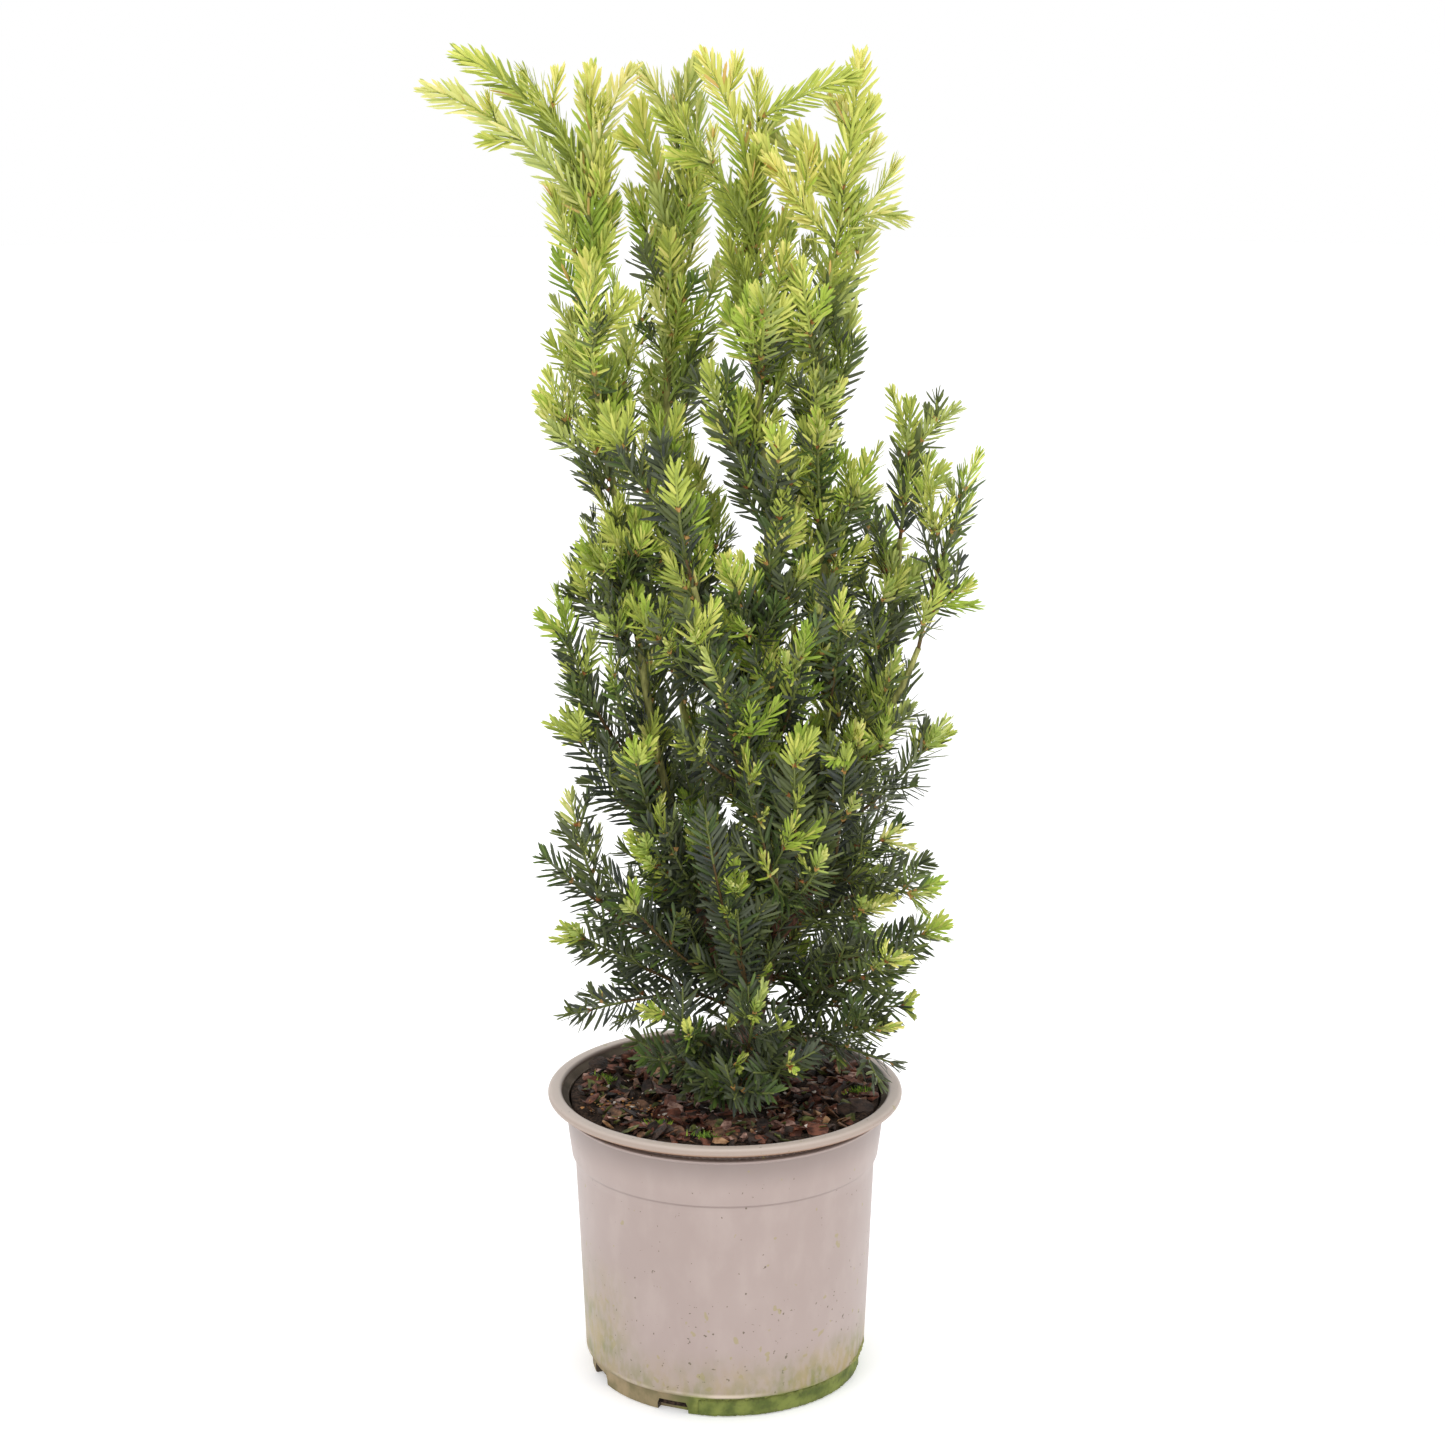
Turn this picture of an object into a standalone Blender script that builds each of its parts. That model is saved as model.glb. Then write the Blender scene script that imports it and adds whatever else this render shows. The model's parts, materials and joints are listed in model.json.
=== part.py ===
"""A young upright yew in a round nursery pot filled with soil.

Run with: blender --background --python part.py
The frame is +Z up, with the origin on the pot's axis and on the flat underside that it stands on.
Shapes are built in metres. A value whose name ends in _CM is in centimetres.
"""

import math
import random

import bmesh
import bpy
import numpy as np
from mathutils import Vector
from mathutils.bvhtree import BVHTree

MM = 0.001
CM = 0.01
GAP = 0.3 * MM
HEADING_REACH = 2.0 * MM

# Pot, a turned shape with notches round its foot
RIM_TOP = 0.217
RIM_RADIUS = 0.130
RIM_WIDTH = 0.0105
RIM_DEPTH = 0.0065
COLLAR_FOOT = 0.167
COLLAR_RADIUS_TOP = 0.1170
COLLAR_RADIUS_FOOT = 0.1130
WALL_RADIUS_TOP = 0.1105
WALL_RADIUS_FOOT = 0.1040
LEDGE_HEIGHT = 0.016
FOOT_RADIUS = 0.0995
WALL = 0.0020
FLOOR = 0.0025
EDGE = 1.0 * MM
POT_SIDES = 40
SHARP_POT = math.radians(35)
NOTCH_COUNT = 8
NOTCH_WIDTH = 0.024
NOTCH_HEIGHT = 0.009
NOTCH_REACH = 0.014

# Soil that fills the pot, uneven on top but flat under the trunk
SOIL_TOP = 0.203
SOIL_RELIEF = 0.0035
SOIL_RINGS = 6
SOIL_FLAT_RADIUS = 0.036
SOIL_SEED = 5

# Trunk and limbs
TRUNK = "trunk"
LIMB_SIDES = 8
LIMB_STEP = 0.045
TAPER_POWER = 0.8
SHARP_LIMB = math.radians(60)
FLARE = 0.75
FLARE_HEIGHT = 0.016
FLARE_RINGS = (0.0, 0.005, 0.012, 0.024)

# Each limb: what it grows from, its radius at the root and the tip in mm,
# and the places in cm that its middle line passes through
LIMBS = {
    TRUNK: (None, 6.5, 2.4, [
        (0.9, 2.6, 20.3), (2.0, 2.8, 25.0), (3.4, 2.6, 31.2), (5.9, 2.5, 35.5), (7.4, 2.4, 40.1),
        (7.6, 2.0, 47.3), (7.1, 1.2, 57.8), (6.6, 0.8, 67.2), (6.6, 0.4, 76.5),
    ]),
    "left_limb": (TRUNK, 3.6, 2.2, [
        (1.7, 2.8, 24.0), (0.0, 1.9, 29.0), (-2.6, 0.0, 38.0), (-5.0, -1.0, 48.1), (-6.6, -1.2, 59.0),
        (-8.3, -1.0, 69.6), (-9.5, -0.6, 76.5),
    ]),
    "back_limb": (TRUNK, 3.6, 2.2, [
        (2.2, 2.8, 26.0), (1.0, 4.6, 30.5), (-1.0, 6.2, 38.0), (-2.8, 6.5, 47.0), (-4.2, 6.0, 57.5),
        (-4.2, 5.0, 69.0), (-3.9, 4.4, 77.0),
    ]),
    "middle_limb": (TRUNK, 3.8, 2.2, [
        (3.3, 2.6, 30.6), (3.9, 0.8, 36.0), (3.8, -1.0, 46.5), (3.3, -1.5, 55.5), (2.9, -1.2, 64.7),
        (2.2, -0.6, 75.0),
    ]),
    "front_limb": ("middle_limb", 2.8, 2.0, [
        (3.9, 0.3, 37.6), (2.9, -1.9, 42.5), (1.6, -3.4, 48.7), (-0.9, -4.4, 55.8), (-2.2, -4.6, 60.0),
    ]),
    "outer_limb": (TRUNK, 2.8, 2.0, [
        (7.5, 2.4, 41.5), (9.0, 3.4, 46.2), (11.0, 3.7, 52.2), (12.2, 3.2, 58.2), (12.5, 2.7, 62.0),
    ]),
    "far_limb": (TRUNK, 2.8, 2.0, [
        (7.6, 2.2, 44.0), (9.7, 1.0, 46.6), (12.4, -0.5, 51.5), (13.7, -0.9, 54.8),
    ]),
}

# Each shoot: what it grows from, how many cm along that it leaves, its bearing and its climb in degrees,
# the reach from root to tip in cm, and by how many degrees it bends up (below zero, over) on the way.
# Bearing 0 is to the right, 90 to the back, 180 to the left and 270 to the front.
# A shoot that grows from a limb is the stem of a mass of foliage, which has its name.
# A shoot that grows from another shoot is a branch of the same mass.
TIP = None
SHOOTS = {
    # On the left limb
    "left_crown": ("left_limb", TIP, 15, 89, 19, 6),
    "left_plume_high": ("left_crown", 9.5, 170, 46, 14, -50),
    "left_plume_low": ("left_crown", 8, 190, 39, 15, -45),
    "left_plume_east": ("left_crown", 11.5, 335, 65, 8, -30),
    "left_west_high": ("left_crown", 4.5, 170, 55, 7, 20),
    "left_east_high": ("left_crown", 3, 40, 75, 9.5, 15),
    "left_back_high": ("left_crown", 5.5, 105, 50, 8, 15),
    "left_front_mid": ("left_limb", 50, 265, 58, 10.5, 35),
    "left_front_mid_east": ("left_front_mid", 5, 320, 60, 5.5, 20),
    "left_west_mid": ("left_front_mid", 1.5, 155, 60, 7, 25),
    "left_back_mid": ("left_limb", 46, 90, 45, 9, 20),
    "left_east_mid": ("left_back_mid", 3, 45, 70, 10.5, 20),
    "left_west_low": ("left_limb", 43, 185, 63, 10.5, 25),
    "left_west_low_twig": ("left_west_low", 4, 215, 40, 4, 20),
    "left_inner_high": ("left_west_low", 1.5, 70, 50, 4.5, 20),
    "left_shoulder": ("left_limb", 31, 170, 55, 9.5, 25),
    "left_shoulder_front": ("left_shoulder", 1.5, 245, 65, 10, 25),
    "left_shoulder_inner": ("left_shoulder", 1.5, 285, 80, 10.5, 20),
    "left_shoulder_rear": ("left_shoulder", 1.5, 110, 60, 10, 25),
    "left_skirt_low": ("left_limb", 21, 170, 55, 13, 30),
    "left_skirt_high": ("left_skirt_low", 6, 205, 64, 11, 30),
    "left_skirt_inner": ("left_skirt_low", 2, 240, 65, 12, 25),
    "left_skirt_rear": ("left_skirt_low", 2, 95, 55, 9.5, 25),
    "left_skirt_foot": ("left_limb", 16, 185, 53, 14.5, 25),
    "left_foot_front": ("left_skirt_foot", 2, 245, 60, 10.5, 25),
    "left_foot_rear": ("left_skirt_foot", 2, 105, 30, 7.5, 25),
    # On the front limb
    "front_crown": ("front_limb", TIP, 180, 79, 13, 10),
    "front_west_high": ("front_crown", 4.5, 185, 60, 10, 30),
    "front_east_high": ("front_crown", 2, 255, 70, 8, 20),
    "front_west_low": ("front_limb", 15, 210, 45, 12, 30),
    "front_east_low": ("front_west_low", 2.5, 250, 65, 7.5, 30),
    "front_low": ("front_limb", 8, 225, 37, 10.5, 35),
    "front_low_east": ("front_low", 1.5, 240, 70, 12, 25),
    "front_low_inner": ("front_low", 1.5, 275, 65, 8, 25),
    # On the back limb
    "back_crown": ("back_limb", TIP, 305, 86, 17.5, 8),
    "back_crown_west": ("back_crown", 12.5, 210, 60, 6.5, -35),
    "back_crown_east": ("back_crown", 13, 340, 75, 6, -20),
    "back_west_high": ("back_crown", 7, 175, 65, 9.5, 15),
    "back_east_high": ("back_crown", 6.5, 5, 80, 10, 20),
    "back_west_low": ("back_crown", 1, 205, 70, 9, 20),
    "back_east_low": ("back_crown", 1.5, 30, 70, 6.5, 20),
    "back_rear_high": ("back_crown", 2.5, 100, 45, 6.5, 25),
    "back_front_mid": ("back_limb", 49, 290, 65, 8, 20),
    "back_east_mid": ("back_limb", 46, 10, 72, 11, 25),
    "back_rear_mid": ("back_limb", 42, 75, 50, 10, 30),
    "back_rear_low": ("back_rear_mid", 2, 115, 35, 4.5, 30),
    "back_rear_foot": ("back_limb", 26, 75, 40, 9, 35),
    "back_low": ("back_limb", 15, 75, 40, 7, 35),
    "back_low_west": ("back_low", 2, 140, 50, 4.5, 25),
    "back_low_east": ("back_low", 2, 30, 45, 6.5, 25),
    "back_inner": ("back_rear_foot", 1.5, 330, 76, 13.5, 20),
    "back_foot_west": ("back_rear_foot", 1.5, 110, 60, 6.5, 25),
    # On the middle limb
    "middle_crown": ("middle_limb", TIP, 90, 88, 20, 5),
    "middle_plume_front": ("middle_crown", 5.5, 225, 46, 14, -35),
    "middle_plume_west": ("middle_crown", 9, 200, 71, 13, -30),
    "middle_plume_east": ("middle_crown", 11, 345, 48, 11.5, -35),
    "middle_east_high": ("middle_crown", 1.5, 345, 75, 8, 25),
    "middle_west_high": ("middle_crown", 0.5, 140, 79, 12, 10),
    "middle_front_high": ("middle_limb", 44, 275, 50, 9.5, 35),
    "middle_front_high_west": ("middle_front_high", 3.5, 225, 55, 4, 20),
    "middle_back_high": ("middle_limb", 42, 80, 50, 9, 25),
    "middle_west_low": ("middle_limb", 35, 200, 68, 11.5, 25),
    "middle_west_low_twig": ("middle_west_low", 5, 285, 65, 5, 15),
    "middle_east_low": ("middle_limb", 34, 280, 55, 9.5, 30),
    "middle_front_low": ("middle_limb", 24, 230, 59, 10, 25),
    "middle_west_foot": ("middle_front_low", 1.5, 250, 30, 6, 25),
    "middle_low_east": ("middle_front_low", 1.5, 235, 80, 6, 20),
    "middle_front_foot": ("middle_limb", 18, 285, 55, 12.5, 35),
    "middle_foot_west": ("middle_front_foot", 2, 245, 65, 6.5, 25),
    # On the trunk, which runs on as the right leader
    "right_crown": (TRUNK, TIP, 340, 82, 20, 5),
    "right_west_high": ("right_crown", 10, 170, 40, 7, 20),
    "right_west_plume": ("right_crown", 5.5, 210, 50, 9, 10),
    "right_east_high": ("right_crown", 11, 15, 55, 5.5, 15),
    "right_east_plume": ("right_crown", 7.5, 330, 10, 5.5, -70),
    "right_east_plume_top": ("right_east_plume", 2, 20, 55, 5, 20),
    "right_east_mid": ("right_crown", 1, 10, 65, 8, 20),
    "right_front_high": (TRUNK, 55, 255, 57, 10.5, 30),
    "right_back_mid": (TRUNK, 51, 90, 50, 8, 30),
    "right_back_high": ("right_back_mid", 3, 65, 73, 10, 25),
    "right_front_mid": (TRUNK, 50, 265, 50, 8.5, 30),
    "right_east_low": ("right_front_mid", 1, 25, 75, 9.5, 25),
    "right_front_low": (TRUNK, 45, 265, 58, 10, 30),
    "right_west_foot": ("right_front_low", 1, 230, 45, 3, 25),
    "right_east_foot": (TRUNK, 41, 340, 70, 9.5, 25),
    "right_back_low": (TRUNK, 36, 90, 40, 9.5, 30),
    "right_rear_east": ("right_back_low", 2, 50, 35, 5.5, 25),
    "right_rear_west": ("right_back_low", 2, 110, 15, 5, 25),
    "right_front_foot": (TRUNK, 31, 275, 56, 12, 30),
    "right_foot_west": ("right_front_foot", 2, 245, 70, 8.5, 20),
    # On the outer limb
    "outer_crown": ("outer_limb", TIP, 305, 85, 10.5, 10),
    "outer_plume": ("outer_crown", 6, 345, 45, 5.5, -20),
    "outer_west_high": ("outer_crown", 2.5, 195, 75, 6.5, 20),
    "outer_east_high": ("outer_crown", 1.5, 35, 60, 5.5, 20),
    "outer_west_low": ("outer_limb", 17.5, 165, 65, 7, 20),
    "outer_back": ("outer_west_low", 1.5, 85, 40, 6, 30),
    "outer_front_low": ("outer_limb", 13, 280, 70, 8.5, 30),
    "outer_low_west": ("outer_front_low", 1.5, 240, 55, 5, 20),
    # On the far limb
    "far_crown": ("far_limb", TIP, 350, 74, 15, -10),
    "far_west": ("far_crown", 6, 225, 80, 6.5, 10),
    "far_east": ("far_crown", 2.5, 345, 40, 4.5, 15),
    "far_front": ("far_crown", 1, 270, 45, 5, 25),
    # Low on the right
    "skirt_east_high": (TRUNK, 21, 350, 47, 13, 25),
    "skirt_east_front": ("skirt_east_high", 2.5, 270, 55, 11, 30),
    "skirt_east_mid": (TRUNK, 18, 320, 32, 9.5, 5),
    "skirt_front_inner": ("skirt_east_mid", 2, 275, 60, 12.5, 25),
    "skirt_east_low": (TRUNK, 14, 5, 23, 11.5, 10),
    "skirt_rear": ("skirt_east_low", 2, 40, 55, 12, 25),
    # Low boughs that spread over the pot
    "bough_east_high": (TRUNK, 9, 350, 20, 15, 15),
    "bough_east_low": (TRUNK, 7, 350, 2, 12, 5),
    "bough_east_mid": ("bough_east_low", 2, 320, 30, 13, 5),
    "bough_east_foot": (TRUNK, 4, 330, 14, 12.5, -5),
    "bough_southeast_foot": ("bough_east_foot", 1.5, 320, 3, 12.5, -20),
    "bough_west_high": ("left_limb", 6, 190, 37, 17, 20),
    "bough_west_high_twig": ("bough_west_high", 10.5, 195, 75, 9.5, 15),
    "bough_west_front": (TRUNK, 7, 215, 44, 19, 30),
    "bough_west_mid": ("left_limb", 3, 195, 30, 15.5, 5),
    "bough_west_low": ("bough_west_mid", 3.5, 185, -10, 9.5, -10),
    "bough_south_high": (TRUNK, 10, 225, 54, 17, 35),
    "bough_south_mid": (TRUNK, 6, 260, 59, 18, 45),
    "bough_south_inner": ("bough_south_mid", 6, 245, 65, 16.5, 20),
    "bough_south_foot": (TRUNK, 2, 270, 4, 10, -5),
    "bough_south_low": ("bough_south_foot", 1.5, 275, 42, 13.5, 10),
    "bough_southwest_low": ("bough_south_foot", 1.5, 230, 37, 13.5, 0),
    "bough_southwest_foot": ("bough_south_foot", 1.5, 250, 15, 9, 0),
    "bough_front_east": ("middle_limb", 5.5, 290, 36, 11, 50),
    "middle_low": ("middle_limb", 12, 290, 55, 7, 35),
    "middle_low_east_twig": ("middle_low", 1.5, 15, 50, 6.5, 25),
    "bough_front_inner": ("bough_front_east", 2.5, 250, 40, 8.5, 40),
    "bough_front_west": ("bough_front_inner", 3, 235, 70, 12.5, 20),
    "bough_front_high": ("bough_front_east", 4, 265, 70, 14, 20),
    "bough_north": (TRUNK, 9, 75, 27, 11, 35),
    "bough_north_up": ("bough_north", 4, 100, 65, 9, 25),
    "bough_northwest": ("bough_north", 1.5, 140, 7, 10, 20),
    "bough_northwest_up": ("bough_northwest", 4, 150, 50, 9, 25),
    "bough_north_low": (TRUNK, 4, 95, 8, 11.5, 10),
    "bough_northeast": ("bough_north", 1, 35, 5, 11.5, 20),
    "bough_northeast_up": ("bough_northeast", 4, 35, 50, 9, 25),
}

# Small twigs that each mass adds by its seeded rule
TWIG_SEED = 38
TWIG_EVERY_CM = 10.0
TWIG_LEAST_REACH_CM = 9.0
TWIG_FIRST = 0.35
TWIG_LAST = 0.80
TWIG_JITTER = (0.2, 0.8)
TWIG_REACH_CM = (2.5, 3.8)
TWIG_ANGLE = 48
TWIG_TURN = 137.5
TWIG_LIFT = 8
TWIG_BEND = 15

# A spray: a slim three-sided core whose faces are drawn out into needles
CORE_SIDES = 3
CORE_RADIUS = 1.9 * MM
TWIG_CORE_RADIUS = 1.5 * MM
CORE_TIP_SHARE = 0.6
CORE_TWIST = math.radians(60)
SEAT_REACH = 0.020
SEAT_STEP = 0.1 * MM
SEAT_TURNS = 24
SUNK_SHARE = 0.5
RING_STEP = 0.0125
NEEDLE = 0.0225
NEEDLE_VARY = (0.92, 1.08)
NEEDLE_LEAN = 50
NEEDLE_LEAN_TIP = 30
NEEDLE_TIP_SHARE = 0.7
TIP_STARTS = 0.6
LAST_NEEDLE = 0.012
BARE_ROOT = 0.012
FLATNESS = 0.7
NEEDLE_HALF_WIDTH = 4.5 * MM
CLEARANCE = 1.0 * MM
SOIL_CLEARANCE = 0.008
BALL_STEP = 0.003
BALL_SHARES = (0.2, 0.35, 0.5, 0.65, 0.8, 0.92, 1.0)
MOST_BALLS = 60000

# Colours: red, green, blue, roughness and metallic value
POT_FINISH = (0.42, 0.37, 0.33, 0.45, 0.0)
SOIL_FINISH = (0.07, 0.035, 0.02, 0.95, 0.0)
BARK_FINISH = (0.16, 0.07, 0.035, 0.85, 0.0)
YOUNG_FINISH = (0.30, 0.46, 0.07, 0.5, 0.0)
OLD_FINISH = (0.03, 0.09, 0.035, 0.5, 0.0)
YOUNG_HEIGHT = 0.60


def clear_scene():
    """Remove everything that the scene holds."""
    for obj in list(bpy.data.objects):
        bpy.data.objects.remove(obj, do_unlink=True)


def finish_material(name, finish):
    """A plain material from its colour, roughness and metallic value."""
    red, green, blue, roughness, metallic = finish
    material = bpy.data.materials.new(name)
    material.use_nodes = True
    shader = material.node_tree.nodes["Principled BSDF"]
    shader.inputs["Base Color"].default_value = (red, green, blue, 1.0)
    shader.inputs["Roughness"].default_value = roughness
    shader.inputs["Metallic"].default_value = metallic
    return material


def object_from(mesh_builder, name, collection=None):
    """A new object that takes over the built mesh."""
    mesh = bpy.data.meshes.new(name)
    mesh_builder.to_mesh(mesh)
    mesh_builder.free()
    obj = bpy.data.objects.new(name, mesh)
    (collection or bpy.context.scene.collection).objects.link(obj)
    return obj


def apply_modifiers(obj):
    """Give the object the mesh that its modifiers make, and drop them."""
    graph = bpy.context.evaluated_depsgraph_get()
    shaped = bpy.data.meshes.new_from_object(obj.evaluated_get(graph))
    obj.modifiers.clear()
    obj.data = shaped


def boolean(obj, collection, operation):
    """Join or cut the object with everything in a collection, whose objects are then removed."""
    modifier = obj.modifiers.new("boolean", "BOOLEAN")
    modifier.operation = operation
    modifier.operand_type = "COLLECTION"
    modifier.collection = collection
    modifier.solver = "EXACT"
    apply_modifiers(obj)
    for other in list(collection.objects):
        bpy.data.objects.remove(other, do_unlink=True)
    bpy.data.collections.remove(collection)


def helper_collection(name):
    """A collection for shapes that only help to make another."""
    collection = bpy.data.collections.new(name)
    bpy.context.scene.collection.children.link(collection)
    return collection


class Line:
    """A smooth line in space, as points at even steps, measured from its root."""

    def __init__(self, points):
        self.points = np.asarray(points, dtype=float)
        steps = np.linalg.norm(np.diff(self.points, axis=0), axis=1)
        self.marks = np.concatenate([[0.0], np.cumsum(steps)])
        self.length = float(self.marks[-1])

    def at(self, distance):
        """The place at a distance from the root."""
        return np.array([np.interp(distance, self.marks, self.points[:, axis]) for axis in range(3)])

    def heading(self, distance):
        """The direction of growth at a distance from the root."""
        reach = min(HEADING_REACH, self.length / 4)
        behind = self.at(max(distance - reach, 0.0))
        ahead = self.at(min(distance + reach, self.length))
        return (ahead - behind) / np.linalg.norm(ahead - behind)


def curve_through(places_cm):
    """A line that passes smoothly through the given places."""
    places = np.array(places_cm) * CM
    before = 2 * places[0] - places[1]
    after = 2 * places[-1] - places[-2]
    knots = np.vstack([before, places, after])
    points = []
    for a, b, c, d in zip(knots, knots[1:], knots[2:], knots[3:]):
        for t in np.arange(0.0, 1.0, 0.05):
            points.append(0.5 * (2 * b + (c - a) * t + (2 * a - 5 * b + 4 * c - d) * t**2
                                 + (3 * b - a - 3 * c + d) * t**3))
    points.append(places[-1])
    return Line(points)


def growth_line(root, bearing, climb, reach, bend, points=33):
    """An upright arc from its root to a tip at the given bearing, climb and reach."""
    half = math.radians(bend) / 2
    length = reach * half / math.sin(half) if half else reach
    climbs = math.radians(climb) + np.linspace(-half, half, points)
    middles = (climbs[1:] + climbs[:-1]) / 2
    steps = np.column_stack([
        np.cos(middles) * math.cos(math.radians(bearing)),
        np.cos(middles) * math.sin(math.radians(bearing)),
        np.sin(middles),
    ]) * length / (points - 1)
    return Line(np.vstack([root, root + np.cumsum(steps, axis=0)]))


def cross_directions(line, distances):
    """Two directions across the line at each distance, carried along it with no twist."""
    heading = line.heading(distances[0])
    side = np.cross(heading, (0.0, 1.0, 0.0) if abs(heading[1]) < 0.8 else (1.0, 0.0, 0.0))
    crosses = []
    for distance in distances:
        heading = line.heading(distance)
        side = side - heading * np.dot(side, heading)
        side = side / np.linalg.norm(side)
        crosses.append((side, np.cross(heading, side)))
    return crosses


def add_ring(builder, centre, cross, radius, sides, turn=0.0):
    """A ring of vertices round a point."""
    ring = []
    for number in range(sides):
        angle = 2 * math.pi * number / sides + turn
        offset = cross[0] * math.cos(angle) + cross[1] * math.sin(angle)
        ring.append(builder.verts.new(centre + offset * radius))
    return ring


def join_rings(builder, rings):
    """The faces between rings, as one list for each stretch."""
    stretches = []
    for lower, upper in zip(rings, rings[1:]):
        count = len(lower)
        stretches.append([
            builder.faces.new((lower[n], lower[(n + 1) % count], upper[(n + 1) % count], upper[n]))
            for n in range(count)
        ])
    return stretches


def close_ring(builder, ring, place):
    """Close a ring with a fan of faces to one point, which looks out of the shape."""
    point = builder.verts.new(place)
    for number in range(len(ring)):
        builder.faces.new((ring[number], ring[(number + 1) % len(ring)], point))


def turned_shape(builder, profile, sides):
    """A closed shape turned about the vertical axis, from its middle bottom to its middle top."""
    rings = []
    for radius, height in profile[1:-1]:
        rings.append(add_ring(builder, np.array([0.0, 0.0, height]), (np.array([1.0, 0.0, 0.0]),
                              np.array([0.0, 1.0, 0.0])), radius, sides))
    join_rings(builder, rings)
    close_ring(builder, rings[0][::-1], (0.0, 0.0, profile[0][1]))
    close_ring(builder, rings[-1], (0.0, 0.0, profile[-1][1]))
    return rings


def pot_outside():
    """The outline of the pot's outside, from under its middle up to the lip."""
    return [
        (0.0, 0.0),
        (FOOT_RADIUS - 1.5 * EDGE, 0.0),
        (FOOT_RADIUS, 1.5 * EDGE),
        (FOOT_RADIUS + EDGE, LEDGE_HEIGHT - EDGE),
        (WALL_RADIUS_FOOT, LEDGE_HEIGHT),
        (WALL_RADIUS_TOP, COLLAR_FOOT - EDGE),
        (COLLAR_RADIUS_FOOT, COLLAR_FOOT + EDGE),
        (COLLAR_RADIUS_TOP, RIM_TOP - RIM_DEPTH),
    ]


def pot_lip():
    """The outline of the rounded lip, over the top from its outer to its inner side."""
    under = RIM_TOP - RIM_DEPTH
    return [
        (RIM_RADIUS - 1.5 * EDGE, under),
        (RIM_RADIUS, under + 2.0 * EDGE),
        (RIM_RADIUS - 0.8 * EDGE, RIM_TOP - 1.5 * EDGE),
        (RIM_RADIUS - 3.0 * EDGE, RIM_TOP),
        (RIM_RADIUS - RIM_WIDTH + 1.5 * EDGE, RIM_TOP),
        (RIM_RADIUS - RIM_WIDTH, RIM_TOP - 1.5 * EDGE),
    ]


def pot_inside():
    """The outline of the wall's inner side, from below the lip down to the floor."""
    return [
        (COLLAR_RADIUS_TOP - WALL, RIM_TOP - RIM_DEPTH - 0.5 * EDGE),
        (COLLAR_RADIUS_FOOT - WALL, COLLAR_FOOT + EDGE),
        (WALL_RADIUS_TOP - WALL, COLLAR_FOOT - EDGE),
        (FOOT_RADIUS - WALL, FLOOR + EDGE),
    ]


def pot_profile():
    """The whole outline of the pot's wall and floor."""
    floor = [(FOOT_RADIUS - WALL - EDGE, FLOOR), (0.0, FLOOR)]
    return pot_outside() + pot_lip() + pot_inside() + floor


def make_pot():
    """The round pot, with drainage notches cut through the bottom corner of its foot."""
    builder = bmesh.new()
    turned_shape(builder, pot_profile(), POT_SIDES)
    pot = object_from(builder, "pot")
    cutters = helper_collection("notch_cutters")
    for number in range(NOTCH_COUNT):
        angle = 2 * math.pi * (number + 0.5) / NOTCH_COUNT + math.pi / 2
        builder = bmesh.new()
        bmesh.ops.create_cube(builder, size=1.0)
        cutter = object_from(builder, "notch_cutter", cutters)
        cutter.scale = (NOTCH_REACH, NOTCH_WIDTH, 2 * NOTCH_HEIGHT)
        cutter.location = (FOOT_RADIUS * math.cos(angle), FOOT_RADIUS * math.sin(angle), 0.0)
        cutter.rotation_euler = (0.0, 0.0, angle)
        cutter.hide_render = True
        cutter.display_type = "WIRE"
    boolean(pot, cutters, "DIFFERENCE")
    pot.data.shade_smooth()
    pot.data.set_sharp_from_angle(angle=SHARP_POT)
    pot.data.materials.append(finish_material("pot", POT_FINISH))
    return pot


def soil_radius(height):
    """How far the soil reaches from the axis at a height, a gap short of the pot's wall."""
    radii, levels = zip(*reversed(pot_inside()))
    return float(np.interp(height, levels, radii)) - GAP / math.cos(math.pi / POT_SIDES)


def make_soil(trunk_foot):
    """The soil, whose top is uneven but level where the trunk stands."""
    chance = random.Random(SOIL_SEED)
    builder = bmesh.new()
    foot = FLOOR + EDGE + GAP
    profile = [
        (0.0, foot),
        (soil_radius(foot), foot),
        (soil_radius(COLLAR_FOOT - EDGE), COLLAR_FOOT - EDGE),
        (soil_radius(COLLAR_FOOT + EDGE), COLLAR_FOOT + 1.5 * EDGE),
        (soil_radius(SOIL_TOP), SOIL_TOP),
    ]
    for number in range(SOIL_RINGS, 0, -1):
        profile.append((soil_radius(SOIL_TOP) * (number - 0.4) / SOIL_RINGS, SOIL_TOP))
    profile.append((0.0, SOIL_TOP))
    rings = turned_shape(builder, profile, POT_SIDES)
    for ring in rings[-SOIL_RINGS:]:
        for vertex in ring:
            from_trunk = math.hypot(vertex.co.x - trunk_foot[0], vertex.co.y - trunk_foot[1])
            rise = chance.uniform(-1.0, 1.0) * SOIL_RELIEF
            vertex.co.z += rise if from_trunk > SOIL_FLAT_RADIUS else 0.0
    soil = object_from(builder, "substrate")
    soil.data.materials.append(finish_material("substrate", SOIL_FINISH))
    return soil


def limb_radius(name, line, distance):
    """The taper of a limb, with the root flare at the foot of the trunk."""
    _, root_mm, tip_mm, _ = LIMBS[name]
    radius = (root_mm + (tip_mm - root_mm) * (distance / line.length) ** TAPER_POWER) * MM
    if name == TRUNK:
        radius *= 1 + FLARE * math.exp(-distance / FLARE_HEIGHT)
    return radius


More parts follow.
